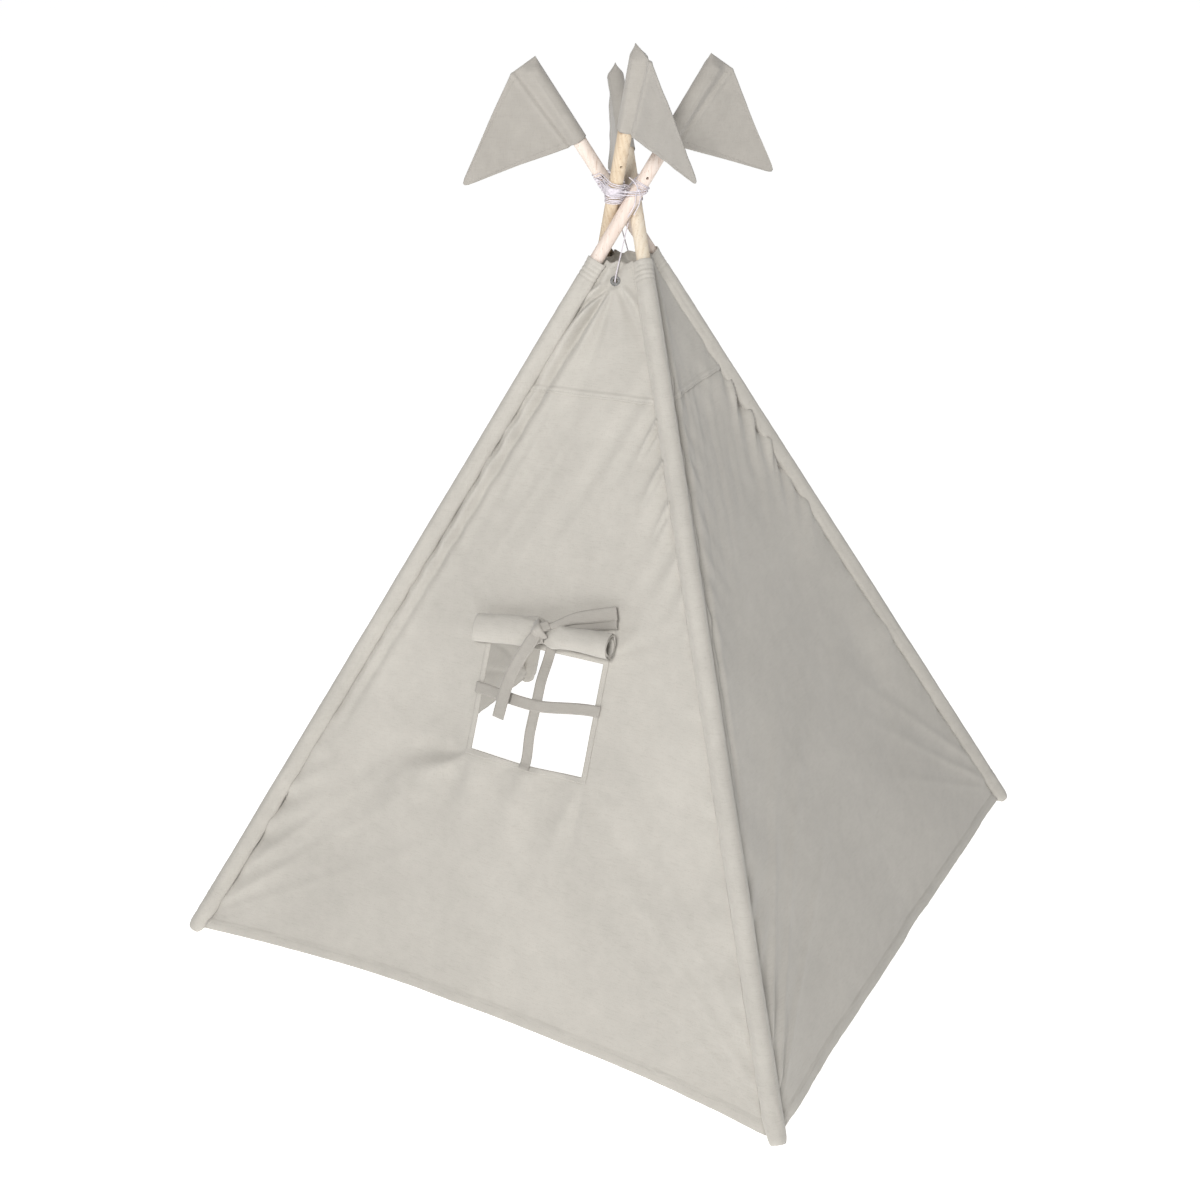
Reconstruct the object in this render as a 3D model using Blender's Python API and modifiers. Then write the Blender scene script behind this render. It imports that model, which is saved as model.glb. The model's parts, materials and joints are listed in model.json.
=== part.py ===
"""A children's teepee tent: four lashed pine poles, a cotton cover sewn from panels, and four pennants.

Metres, +Z up. The origin is on the floor below the point where the poles cross. The window faces -Y.
The frame has four-fold symmetry: a quarter turn about Z takes pole a to b, b to c and c to d, and the
window face to the right face, the door face and the left face.
"""

import math

import bmesh
import bpy
from mathutils import Matrix, Vector

# Frame
BASE_SIDE = 1.2  # between the axes of neighbouring poles at the floor
CROSSING_HEIGHT = 1.305
POLE_OFFSET = 0.021  # each pole's axis passes the middle of the crossing at this distance
POLE_RADIUS = 0.012
POLE_START = 0.020  # along the axis, from where it meets the floor
POLE_LENGTH = 1.8
POLE_TRIMS = (0.0, -0.030, 0.0, 0.038)  # how far each pole's top is from the usual place
POLE_CHAMFER = 0.0015
CORD_HOLE_RADIUS = 0.0025
CORD_HOLE_BELOW_TOP = 0.203

# Cover
CLOTH = 0.003
GAP = 0.0003
SLEEVE_BORE = 0.0125
SLEEVE_RADIUS = 0.015
POCKET_TIP_RADIUS = 0.007
POCKET_TAPER = 0.024
POCKET_BELOW_FLOOR = 0.008  # trimmed off flat at the floor
COVER_TOP = 1.222
SEAM_HEIGHT = 1.015
HEM_END = 0.010
HEM_ARCH = (0.027, 0.003, 0.0, 0.014)  # window, right, door and left faces
PANEL_COLUMNS = 12
PANEL_ROWS = 14
YOKE_COLUMNS = 6
YOKE_ROWS = 6

# Window
WINDOW_WIDTH = 0.22
WINDOW_TALL = 0.196  # up the slope
WINDOW_HEIGHT = 0.520  # of its middle, above the floor
WINDOW_SHIFT = 0.015  # to the right of the face's middle
RIBBON = 0.020
RIBBON_THICK = 0.002
BAR_OVERLAP = 0.011
BAR_RAISE = 0.010  # of the horizontal bar above the window's middle
ROLL_RADIUS = 0.021
ROLL_LENGTH = 0.264
ROLL_UP = 0.120  # of the rolled flap's axis above the window's middle, up the slope
ROLL_STANDOFF = 0.0035  # leaves room for the tie behind the roll
BAND_CLEARANCE = 0.0006
KNOT_RADIUS = 0.013
TAIL_END = (-0.050, -0.033, 0.018)  # across and up from the window's middle, and off the cloth
LOOP_END = (0.130, 0.188, 0.010)

# Door
CURTAIN_TIE_HEIGHT = 0.50
CURTAIN_TIE_WIDTH = 0.058
CURTAIN_HEM_WIDTH = 0.150
CURTAIN_HEM = 0.205
CURTAIN_THICK_TOP = 0.005
CURTAIN_THICK_TIE = 0.036
CURTAIN_THICK_HEM = 0.040
CURTAIN_TIE_GAP = 0.0078  # between the gathered curtain and the sleeve, for the tie
CURTAIN_TIE_EASE = 0.0048
CURTAIN_MEETING_GAP = 0.001

# Eyelets, cords and lashing
EYELET_HEIGHT = 1.19
EYELET_BORE = 0.0042
EYELET_BARREL = 0.0052
EYELET_RADIUS = 0.009
EYELET_FLANGE = 0.001
EYELET_HOLE = 0.0056  # in the cloth
COVER_CORD_RADIUS = 0.00125
LASHING_LOW = -0.014  # from the crossing
LASHING_HIGH = 0.034
LASHING_BORE_LOW = 0.0375
LASHING_BORE_HIGH = 0.0470
LASHING_WALL = 0.005
LASHING_END_RADIUS = 0.0022
LASHING_END_LENGTH = 0.050

# Pennants, along the pole and out from its axis
FLAG_BOTTOM = 1.688
FLAG_SLEEVE_RADIUS = 0.0148
FLAG_TOP = 1.842
FLAG_SEAM_HALF_WIDTH = 0.023
FLAG_SHOULDER = 0.028
FLAG_TIP_OUT = 0.200
FLAG_TIP_ALONG = 1.742
FLAG_TIP_HALF = 0.004
FLAG_TURNS = (8.0, -5.0, -2.0, 17.0)  # degrees about each pole, from straight outwards

# Worked out from the above
SPREAD = BASE_SIDE / math.sqrt(2) / CROSSING_HEIGHT  # tangent of a pole's tilt
TILT = math.atan(SPREAD)
CROSSING_ALONG = CROSSING_HEIGHT / math.cos(TILT)
CROSSING = Vector((0, 0, CROSSING_HEIGHT))
POLE_TOP = POLE_START + POLE_LENGTH
POLE_NAMES = ("a", "b", "c", "d")
FACE_NAMES = ("window", "right", "door", "left")
QUARTER = math.pi / 2


def start():
    """Empties the scene and makes the collections."""
    for obj in list(bpy.data.objects):
        bpy.data.objects.remove(obj)
    collections = {}
    for name in ("teepee_tent", "cutters"):
        collections[name] = bpy.data.collections.new(name)
        bpy.context.scene.collection.children.link(collections[name])
    collections["cutters"].hide_render = True
    return collections


COLLECTIONS = start()


def material(name, colour, roughness, metallic=0.0):
    made = bpy.data.materials.new(name)
    made.use_nodes = True
    shader = made.node_tree.nodes["Principled BSDF"]
    shader.inputs["Base Color"].default_value = (*colour, 1.0)
    shader.inputs["Roughness"].default_value = roughness
    shader.inputs["Metallic"].default_value = metallic
    return made


COTTON = material("cotton", (0.55, 0.53, 0.48), 0.95)
PINE = material("pine", (0.80, 0.66, 0.48), 0.6)
ROPE = material("rope", (0.86, 0.84, 0.84), 0.9)
STEEL = material("steel", (0.62, 0.62, 0.63), 0.3, 1.0)


def add(name, mesh, look, location=(0, 0, 0), rotation=None):
    """A named part from a mesh, with its origin at location."""
    obj = bpy.data.objects.new(name, mesh)
    COLLECTIONS["teepee_tent"].objects.link(obj)
    mesh.materials.append(look)
    mesh.shade_smooth()
    mesh.set_sharp_from_angle(angle=math.radians(40))
    obj.location = location
    if rotation is not None:
        obj.rotation_euler = rotation
    return obj


def mesh_from(bm, name):
    bmesh.ops.recalc_face_normals(bm, faces=bm.faces[:])
    mesh = bpy.data.meshes.new(name)
    bm.to_mesh(mesh)
    bm.free()
    return mesh


def slab(name, columns, rows, place, origin=Vector()):
    """A closed sheet: a grid, doubled, whose points go where place(across, up, side) says."""
    bm = bmesh.new()
    bmesh.ops.create_grid(bm, x_segments=columns, y_segments=rows, size=0.5)
    front = list(bm.verts)
    doubled = bmesh.ops.extrude_face_region(bm, geom=bm.faces[:], use_keep_orig=True)
    back = [item for item in doubled["geom"] if isinstance(item, bmesh.types.BMVert)]
    for side, points in ((1.0, front), (-1.0, back)):
        for point in points:
            point.co = place(point.co.x + 0.5, point.co.y + 0.5, side) - origin
    return mesh_from(bm, name)


def turned(name, profile, look, segments, closed=False):
    """A Screw of a profile of (radius, height) that runs down its outer side."""
    mesh = bpy.data.meshes.new(name)
    edges = [(i, i + 1) for i in range(len(profile) - 1)]
    if closed:
        edges.append((len(profile) - 1, 0))
    mesh.from_pydata([(radius, 0, height) for radius, height in profile], edges, [])
    obj = add(name, mesh, look)
    screw = obj.modifiers.new("Screw", "SCREW")
    screw.steps = segments
    screw.render_steps = segments
    screw.use_merge_vertices = True
    screw.merge_threshold = 0.00001
    screw.use_smooth_shade = False
    return obj


def cylinder(name, radius, length, segments):
    """A closed cylinder along Z, from its middle."""
    bm = bmesh.new()
    bmesh.ops.create_cone(
        bm, cap_ends=True, segments=segments, radius1=radius, radius2=radius, depth=length
    )
    return mesh_from(bm, name)


def cutter(name, mesh, matrix):
    obj = bpy.data.objects.new(name, mesh)
    COLLECTIONS["cutters"].objects.link(obj)
    obj.matrix_world = matrix
    obj.hide_render = True
    obj.display_type = "WIRE"
    return obj


def boolean(obj, other, operation):
    """A cut or a union. A part that is joined to another is then only a helper."""
    modifier = obj.modifiers.new(operation.title(), "BOOLEAN")
    modifier.operation = operation
    modifier.solver = "EXACT"
    modifier.object = other


def join(obj, other):
    boolean(obj, other, "UNION")
    COLLECTIONS["teepee_tent"].objects.unlink(other)
    COLLECTIONS["cutters"].objects.link(other)
    other.hide_render = True
    other.display_type = "WIRE"


def tube(name, points, radius, look, location=(0, 0, 0), rotation=None):
    """A round cord along points, with closed ends."""
    curve = bpy.data.curves.new(name, "CURVE")
    curve.dimensions = "3D"
    curve.bevel_depth = radius
    curve.bevel_resolution = 2
    curve.use_fill_caps = True
    spline = curve.splines.new("POLY")
    spline.points.add(len(points) - 1)
    for target, point in zip(spline.points, points, strict=True):
        target.co = (*point, 1.0)
    curve.materials.append(look)
    obj = bpy.data.objects.new(name, curve)
    COLLECTIONS["teepee_tent"].objects.link(obj)
    obj.location = location
    if rotation is not None:
        obj.rotation_euler = rotation
    return obj


# Geometry of the frame and of the window face, which the other faces repeat


def left_axis(height):
    """The axis of pole a, at the left of the window face."""
    reach = SPREAD * (height - CROSSING_HEIGHT)
    return Vector(((reach + POLE_OFFSET), (reach - POLE_OFFSET), 0)) / math.sqrt(2) + Vector(
        (0, 0, height)
    )


def right_axis(height):
    """The axis of pole b, which is pole a's after a quarter turn."""
    return Matrix.Rotation(QUARTER, 3, "Z") @ left_axis(height)


def chord(height):
    return right_axis(height) - left_axis(height)


def sleeve_share(height, clearance=GAP):
    """The share of the chord that the sleeve takes up at each end."""
    along = left_axis(1.0) - left_axis(0.0)
    sine = chord(height).normalized().cross(along.normalized()).length
    return (SLEEVE_RADIUS + clearance) / sine / chord(height).length


def on_face(across, height, off=0.0):
    """A point of the window face: across is 0 at pole a and 1 at pole b, off is outwards."""
    up_left = left_axis(1.0) - left_axis(0.0)
    up_right = right_axis(1.0) - right_axis(0.0)
    normal = chord(height).cross(up_left.lerp(up_right, across)).normalized()
    return left_axis(height).lerp(right_axis(height), across) + normal * off


def turn(quarter):
    return (0, 0, quarter * QUARTER)


def cloth_between(low, high):
    """How a panel fills its face between the sleeves, from low(across) up to high."""

    def place(across, up, side):
        height = low(across) + (high - low(across)) * up
        share = sleeve_share(height)
        return on_face(share + (1 - 2 * share) * across, height, side * CLOTH / 2)

    return place


def face_part(name, mesh, quarter, look=None):
    """A part of a face, hung from the crossing, where the face swings when the poles close."""
    return add(name, mesh, look or COTTON, CROSSING, turn(quarter))


# Poles and sleeves


def pole_frames():
    """An empty on each pole's axis at the crossing: its Z runs up the pole, its X out and down."""
    frames = []
    for quarter, letter in enumerate(POLE_NAMES):
        frame = bpy.data.objects.new(f"pole_axis_{letter}", None)
        COLLECTIONS["teepee_tent"].objects.link(frame)
        lean = Matrix.Rotation(math.pi / 4, 4, "Z") @ Matrix.Rotation(TILT, 4, "Y")
        frame.matrix_world = (
            Matrix.Rotation(quarter * QUARTER, 4, "Z")
            @ Matrix.Translation(left_axis(CROSSING_HEIGHT))
            @ lean
        )
        frames.append(frame)
    return frames


def along(distance):
    """A distance along a pole from the floor, as a height in the pole's own frame."""
    return distance - CROSSING_ALONG


def build_poles(frames):
    """Four dowels with broken edges, each drilled for the lashing cord."""
    hole_turns = (1, 0, 1, 0)  # quarter turns about the pole, so that all the holes lie one way
    for quarter, frame in enumerate(frames):
        letter, hole_turn = POLE_NAMES[quarter], hole_turns[quarter]
        length = POLE_LENGTH + POLE_TRIMS[quarter]
        hole_height = along(POLE_START + length - CORD_HOLE_BELOW_TOP)
        pole = add(f"pole_{letter}", cylinder("pole", POLE_RADIUS, length, 32), PINE)
        for point in pole.data.vertices:
            point.co.z += along(POLE_START + length / 2)
        pole.parent = frame
        bevel = pole.modifiers.new("Bevel", "BEVEL")
        bevel.width = POLE_CHAMFER
        bevel.segments = 2
        bevel.angle_limit = math.radians(60)
        drill = Matrix.Rotation(QUARTER, 4, "Y")
        drill = Matrix.Rotation(hole_turn * QUARTER, 4, "Z") @ drill
        bit = cylinder("cord_hole", CORD_HOLE_RADIUS, 4 * POLE_RADIUS, 16)
        place = frame.matrix_world @ Matrix.Translation((0, 0, hole_height)) @ drill
        boolean(pole, cutter(f"cord_hole_{letter}", bit, place), "DIFFERENCE")


def build_sleeves(frames):
    """A cloth tube round each pole, sewn shut below it as a pocket that stands on the floor."""
    floor = bmesh.new()
    bmesh.ops.create_cube(floor, size=1.0, matrix=Matrix.Translation((0, 0, -0.5)))
    bmesh.ops.scale(floor, vec=(3, 3, 0.1), verts=floor.verts[:])
    floor = cutter("floor", mesh_from(floor, "floor"), Matrix.Identity(4))
    top = along(COVER_TOP / math.cos(TILT))
    cavity = along(POLE_START) - GAP
    profile = (
        (0, cavity),
        (SLEEVE_BORE, cavity),
        (SLEEVE_BORE, top),
        (SLEEVE_RADIUS, top),
        (SLEEVE_RADIUS, along(POCKET_TAPER)),
        (POCKET_TIP_RADIUS, along(-POCKET_BELOW_FLOOR)),
        (0, along(-POCKET_BELOW_FLOOR)),
    )
    for frame, letter in zip(frames, POLE_NAMES, strict=True):
        sleeve = turned(f"sleeve_{letter}", profile, COTTON, 24)
        sleeve.parent = frame
        boolean(sleeve, floor, "DIFFERENCE")


# Faces


def hem(quarter):
    return lambda across: HEM_END + HEM_ARCH[quarter] * 4 * across * (1 - across)


def build_yokes():
    """The top of each face, sewn on above the cross seam."""
    place = cloth_between(lambda across: SEAM_HEIGHT + GAP, COVER_TOP)
    yokes = []
    for quarter, name in enumerate(FACE_NAMES):
        mesh = slab("yoke", YOKE_COLUMNS, YOKE_ROWS, place, CROSSING)
        yokes.append(face_part(f"yoke_{name}", mesh, quarter))
    return yokes


def build_panels():
    """The large lower panels. The door face has curtains instead."""
    panels = {}
    for quarter, name in enumerate(FACE_NAMES):
        if name != "door":
            place = cloth_between(hem(quarter), SEAM_HEIGHT - GAP)
            mesh = slab("panel", PANEL_COLUMNS, PANEL_ROWS, place, CROSSING)
            panels[name] = face_part(f"panel_{name}", mesh, quarter)
    return panels


# Window


def by_window(across, up, off=0.0):
    """A point of the window face, measured from the window's middle, across and up the slope."""
    slope = (on_face(0.5, 1.0) - on_face(0.5, 0.0)).length
    height = WINDOW_HEIGHT + up / slope
    return on_face(0.5 + (across + WINDOW_SHIFT) / chord(height).length, height, off)


def window_frame():
    """The matrix at the window's middle: X across, Y up the slope, Z outwards."""
    middle = by_window(0, 0)
    across = (by_window(0.05, 0) - by_window(-0.05, 0)).normalized()
    out = (by_window(0, 0, 1.0) - middle).normalized()
    matrix = Matrix((across, out.cross(across), out)).transposed().to_4x4()
    return Matrix.Translation(middle) @ matrix


def cut_window(panel):
    bm = bmesh.new()
    bmesh.ops.create_cube(bm, size=1.0)
    bmesh.ops.scale(bm, vec=(WINDOW_WIDTH, WINDOW_TALL, 0.08), verts=bm.verts[:])
    boolean(panel, cutter("window_hole", mesh_from(bm, "window_hole"), window_frame()), "DIFFERENCE")


def build_window_bars():
    """Two strips of folded tape sewn over the window, the horizontal one in front."""
    behind = CLOTH / 2 + GAP
    half_wide = WINDOW_WIDTH / 2 + BAR_OVERLAP
    half_tall = WINDOW_TALL / 2 + BAR_OVERLAP

    def upright(across, up, side):
        off = behind + RIBBON_THICK * (1 + side) / 2
        return by_window((across - 0.5) * RIBBON, (2 * up - 1) * half_tall, off)

    def level(across, up, side):
        off = behind + RIBBON_THICK + GAP + RIBBON_THICK * (1 + side) / 2
        return by_window((2 * across - 1) * half_wide, BAR_RAISE + (up - 0.5) * RIBBON, off)

    face_part("window_bar_vertical", slab("bar", 2, 10, upright, CROSSING), 0)
    face_part("window_bar_horizontal", slab("bar", 10, 2, level, CROSSING), 0)


def roll_centre():
    off = CLOTH / 2 + ROLL_STANDOFF + ROLL_RADIUS
    return window_frame() @ Vector((0, ROLL_UP, off))


def build_flap():
    """The window's flap, rolled up, on the seam that it hangs from."""
    seam = window_frame() @ Vector((0, ROLL_UP + ROLL_RADIUS, CLOTH / 2))
    across = window_frame().to_3x3().col[0].normalized()
    spin = Vector((0, 0, 1)).rotation_difference(across).to_matrix().to_4x4()
    roll = add("window_flap_roll", cylinder("roll", ROLL_RADIUS, ROLL_LENGTH, 28), COTTON, seam)
    roll.data.transform(Matrix.Translation(roll_centre() - seam) @ spin)
    bevel = roll.modifiers.new("Bevel", "BEVEL")
    bevel.width = 0.003
    bevel.segments = 2
    bevel.angle_limit = math.radians(60)
    return seam


def ribbon_loop(name, half_across, half_deep, matrix):
    """A closed flat loop round an oval, RIBBON wide along the matrix's Z."""
    curve = bpy.data.curves.new(name, "CURVE")
    curve.dimensions = "3D"
    curve.twist_mode = "Z_UP"
    curve.extrude = (RIBBON - RIBBON_THICK) / 2
    curve.bevel_depth = RIBBON_THICK / 2
    curve.bevel_resolution = 1
    spline = curve.splines.new("POLY")
    steps = 28
    spline.points.add(steps - 1)
    spline.use_cyclic_u = True
    for step, point in enumerate(spline.points):
        angle = 2 * math.pi * step / steps
        point.co = (half_across * math.cos(angle), half_deep * math.sin(angle), 0, 1)
    helper = bpy.data.objects.new(name, curve)
    COLLECTIONS["teepee_tent"].objects.link(helper)
    bpy.context.view_layer.update()
    graph = bpy.context.evaluated_depsgraph_get()
    mesh = bpy.data.meshes.new_from_object(helper.evaluated_get(graph))
    bpy.data.objects.remove(helper)
    bm = bmesh.new()
    bm.from_mesh(mesh)
    bmesh.ops.remove_doubles(bm, verts=bm.verts[:], dist=0.00001)
    bmesh.ops.transform(bm, matrix=matrix, verts=bm.verts[:])
    return mesh_from(bm, name)


def ribbon_path(start, bend, end, across):
    """A strip on a three-point curve: place() for slab, with its width along across."""

    def place(over, up, side):
        point = start.lerp(bend, up).lerp(bend.lerp(end, up), up)
        way = bend - start if up < 0.01 else end - bend if up > 0.99 else None
        ahead = way or (bend - start).lerp(end - bend, up)
        thick = ahead.cross(across).normalized()
        return point + across * RIBBON * (over - 0.5) + thick * side * RIBBON_THICK / 2

    return place


def build_window_tie(seam):
    """The band round the rolled flap, and its half bow: a knot, one loop and one hanging tail."""
    frame = window_frame()
    round_roll = ROLL_RADIUS + BAND_CLEARANCE + RIBBON_THICK / 2
    lie = frame.to_3x3().to_4x4() @ Matrix.Rotation(QUARTER, 4, "Y")
    band = ribbon_loop(
        "window_tie_band",
        round_roll,
        round_roll,
        Matrix.Translation(roll_centre() - seam) @ lie,
    )
    add("window_tie_band", band, COTTON, seam)

    out = frame.to_3x3().col[2].normalized()
    up = frame.to_3x3().col[1].normalized()
    across = frame.to_3x3().col[0].normalized()
    knot_at = roll_centre() + (out * 0.9 + up * 0.435) * (
        round_roll + RIBBON_THICK / 2 + KNOT_RADIUS + GAP
    )
    bm = bmesh.new()
    bmesh.ops.create_uvsphere(bm, u_segments=16, v_segments=10, radius=KNOT_RADIUS)
    knot = add("window_tie_bow", mesh_from(bm, "knot"), COTTON, seam)
    knot.data.transform(Matrix.Translation(knot_at - seam))
    tail_end = by_window(*TAIL_END)
    tail_bend = knot_at + (tail_end - knot_at) * 0.45 + out * 0.012
    tail_start = knot_at - up * KNOT_RADIUS * 0.4 + out * 0.004
    strip = slab("tail", 2, 8, ribbon_path(tail_start, tail_bend, tail_end, across), seam)
    join(knot, add("window_tie_tail", strip, COTTON, seam))
    loop_end = by_window(*LOOP_END)
    loop_bend = knot_at + (loop_end - knot_at) * 0.5 + out * 0.006
    strip = slab("loop", 2, 8, ribbon_path(knot_at, loop_bend, loop_end, up), seam)
    join(knot, add("window_tie_loop", strip, COTTON, seam))


# Door


def curtain_sizes(height):
    """(width from the pole's axis, gap beside the sleeve, thickness) of a tied-back curtain."""
    sleeve = sleeve_share(CURTAIN_TIE_HEIGHT) * chord(CURTAIN_TIE_HEIGHT).length
    tied = sleeve + CURTAIN_TIE_GAP + CURTAIN_TIE_WIDTH
    beside = CURTAIN_TIE_GAP * math.exp(-(((height - CURTAIN_TIE_HEIGHT) / 0.08) ** 2))
    if height > CURTAIN_TIE_HEIGHT:
        part = (height - CURTAIN_TIE_HEIGHT) / (SEAM_HEIGHT - CURTAIN_TIE_HEIGHT)
        top = chord(SEAM_HEIGHT).length / 2 - CURTAIN_MEETING_GAP / 2
        thick = CURTAIN_THICK_TIE + (CURTAIN_THICK_TOP - CURTAIN_THICK_TIE) * part**0.6
        return tied + (top - tied) * part**1.5, beside, thick
    part = (CURTAIN_TIE_HEIGHT - height) / (CURTAIN_TIE_HEIGHT - CURTAIN_HEM)
    thick = CURTAIN_THICK_TIE + (CURTAIN_THICK_HEM - CURTAIN_THICK_TIE) * part**0.6
    return tied + (CURTAIN_HEM_WIDTH - CURTAIN_TIE_WIDTH) * part**1.4, beside, thick


def curtain_place(mirrored):
    def place(across, up, side):
        height = CURTAIN_HEM + (SEAM_HEIGHT - GAP - CURTAIN_HEM) * up
        width, beside, thick = curtain_sizes(height)
        span = chord(height).length
        near = sleeve_share(height) + beside / span
        share = near + (width / span - near) * across
        rounding = math.sqrt(1 - 0.9 * (2 * across - 1) ** 2)
        off = side * max(thick * rounding, CLOTH) / 2
        return on_face(1 - share if mirrored else share, height, off)

    return place


def build_curtains():
    """Two door curtains, gathered to the poles, each held by a loop of tape."""
    for mirrored, name in ((False, "right"), (True, "left")):
        mesh = slab("curtain", 4, 20, curtain_place(mirrored), CROSSING)
        face_part(f"door_curtain_{name}", mesh, 2)
        place = curtain_place(mirrored)
        up = (CURTAIN_TIE_HEIGHT - CURTAIN_HEM) / (SEAM_HEIGHT - GAP - CURTAIN_HEM)
        near, far = place(0, up, 0), place(1, up, 0)
        pole = right_axis(1) - right_axis(0) if mirrored else left_axis(1) - left_axis(0)
        out = (place(0.5, up, 1) - place(0.5, up, -1)).normalized()
        rise = (pole - out * pole.dot(out)).normalized()
        across = out.cross(rise)
        matrix = Matrix((across, out, across.cross(out))).transposed().to_4x4()
        half_across = abs((far - near).dot(across)) / 2 + CURTAIN_TIE_EASE
        half_deep = CURTAIN_THICK_TIE / 2 + CURTAIN_TIE_EASE
        matrix = Matrix.Translation((near + far) / 2 - CROSSING) @ matrix
        loop = ribbon_loop("curtain_tie", half_across, half_deep, matrix)
        face_part(f"curtain_tie_{name}", loop, 2)


# Eyelets, cords and lashing


def build_eyelets(yokes):
    """A steel eyelet in the window face's yoke and one in the door face's, opposite it."""
    half = CLOTH / 2 + 2 * GAP
    profile = (
        (EYELET_BORE, half + EYELET_FLANGE),
        (EYELET_RADIUS, half + EYELET_FLANGE),
        (EYELET_RADIUS, half),
        (EYELET_BARREL, half),
        (EYELET_BARREL, -half),
        (EYELET_RADIUS, -half),
        (EYELET_RADIUS, -half - EYELET_FLANGE),
        (EYELET_BORE, -half - EYELET_FLANGE),
    )
    middle = on_face(0.5, EYELET_HEIGHT)
    out = (on_face(0.5, EYELET_HEIGHT, 1.0) - middle).normalized()
    spin = Vector((0, 0, 1)).rotation_difference(out).to_matrix().to_4x4()
    for quarter in (0, 2):
        name = FACE_NAMES[quarter]
        turned_round = Matrix.Rotation(quarter * QUARTER, 4, "Z")
        place = turned_round @ Matrix.Translation(middle) @ spin
        punch = cylinder("punch", EYELET_HOLE, 0.02, 24)
        boolean(yokes[quarter], cutter(f"punch_{name}", punch, place), "DIFFERENCE")
        eyelet = turned(f"eyelet_{name}", profile, STEEL, 24, closed=True)
        eyelet.matrix_world = place


def build_cover_cords():
    """The cords that hang the cover from the lashing, each tied through its eyelet."""
    inside = on_face(0.5, EYELET_HEIGHT, -0.002)
    mouth = on_face(0.5, EYELET_HEIGHT, 0.004)
    rise = on_face(0.5, EYELET_HEIGHT + 0.012, 0.0055)
    beside = on_face(0.5, EYELET_HEIGHT + 0.045, 0.0045)
    top = on_face(0.5, CROSSING_HEIGHT - 0.019)
    route = [inside, mouth, rise, beside, top]
    for quarter in (0, 2):
        points = [point - CROSSING for point in route]
        name = f"cover_cord_{FACE_NAMES[quarter]}"
        tube(name, points, COVER_CORD_RADIUS, ROPE, CROSSING, turn(quarter))


def build_lashing():
    """The rope wound round the crossing, as one sleeve that clears the poles, and its knot."""
    profile = (
        (LASHING_BORE_HIGH, LASHING_HIGH),
        (LASHING_BORE_HIGH + LASHING_WALL, LASHING_HIGH),
        (LASHING_BORE_LOW + LASHING_WALL, LASHING_LOW),
        (LASHING_BORE_LOW, LASHING_LOW),
    )
    lashing = turned("lashing", profile, ROPE, 32, closed=True)
    lashing.location = CROSSING
    facing = Vector((math.cos(math.radians(-62)), math.sin(math.radians(-62)), 0))
    middle = (LASHING_BORE_LOW + LASHING_BORE_HIGH) / 2 + LASHING_WALL
    centre = facing * (middle + 0.0095) + Vector((0, 0, 0.008))
    bm = bmesh.new()
    bmesh.ops.create_uvsphere(bm, u_segments=14, v_segments=8, radius=0.007)
    knot = add("lashing_knot", mesh_from(bm, "knot"), ROPE, CROSSING)
    knot.data.transform(Matrix.Translation(centre))
    beside = facing.cross(Vector((0, 0, 1)))
    for way in (-1, 1):
        foot = centre + beside * way * 0.014 - Vector((0, 0, LASHING_END_LENGTH))
        middle = (centre + foot) / 2 + beside * way * 0.006 + facing * 0.004
        strand = cylinder_between("strand", centre, middle, foot)
        join(knot, add(f"lashing_end_{'left' if way < 0 else 'right'}", strand, ROPE, CROSSING))


def cylinder_between(name, start, bend, end):
    """A short round strand on a three-point curve, from rings of a bent cylinder."""
    bm = bmesh.new()
    rings = 6
    bmesh.ops.create_cone(
        bm, cap_ends=True, segments=8, radius1=LASHING_END_RADIUS, radius2=LASHING_END_RADIUS,
        depth=1.0,
    )
    lengthwise = [edge for edge in bm.edges if abs(edge.verts[0].co.z - edge.verts[1].co.z) > 0.5]
    bmesh.ops.subdivide_edges(bm, edges=lengthwise, cuts=rings)
    for point in bm.verts:
        up = point.co.z + 0.5
        middle = start.lerp(bend, up).lerp(bend.lerp(end, up), up)
        ahead = (bend - start).lerp(end - bend, up).normalized()
        spin = Vector((0, 0, 1)).rotation_difference(ahead)
        point.co = middle + spin @ Vector((point.co.x, point.co.y, 0))
    return mesh_from(bm, name)


# Pennants


def flag_shell():
    """The pennant's sleeve: round along the pole, and sewn flat above its end."""
    round_to = POLE_TOP + 0.003
    sections = (
        (FLAG_BOTTOM, FLAG_SLEEVE_RADIUS, FLAG_SLEEVE_RADIUS),
        (round_to, FLAG_SLEEVE_RADIUS, FLAG_SLEEVE_RADIUS),
        (round_to + 0.010, 0.019, 0.009),
        (FLAG_TOP, FLAG_SEAM_HALF_WIDTH, CLOTH / 2),
    )
    segments = 24
    bm = bmesh.new()
    rings = []
    for distance, out, thick in sections:
        angles = [2 * math.pi * step / segments for step in range(segments)]
        rings.append(
            [
                bm.verts.new((out * math.cos(angle), thick * math.sin(angle), along(distance)))
                for angle in angles
            ]
        )
    for low, high in zip(rings, rings[1:]):
        for step in range(segments):
            after = (step + 1) % segments
            bm.faces.new((low[step], low[after], high[after], high[step]))
    bm.faces.new(rings[0][::-1])
    bm.faces.new(rings[-1])
    return mesh_from(bm, "flag_sleeve")


def pennant_place(across, up, side):
    """The triangular cloth, from inside the sleeve's wall out to its tip."""
    start = 0.004
    out = start + (FLAG_TIP_OUT - start) * across
    low = FLAG_BOTTOM + GAP + (FLAG_TIP_ALONG - FLAG_TIP_HALF - FLAG_BOTTOM) * across
    fall = (FLAG_TOP - FLAG_TIP_ALONG - FLAG_TIP_HALF) / (FLAG_TIP_OUT - FLAG_SHOULDER)
    high = min(FLAG_TOP - 0.001, FLAG_TOP - fall * (out - FLAG_SHOULDER))
    return Vector((out, side * (CLOTH / 2 - 0.0001), along(low + (high - low) * up)))


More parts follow.
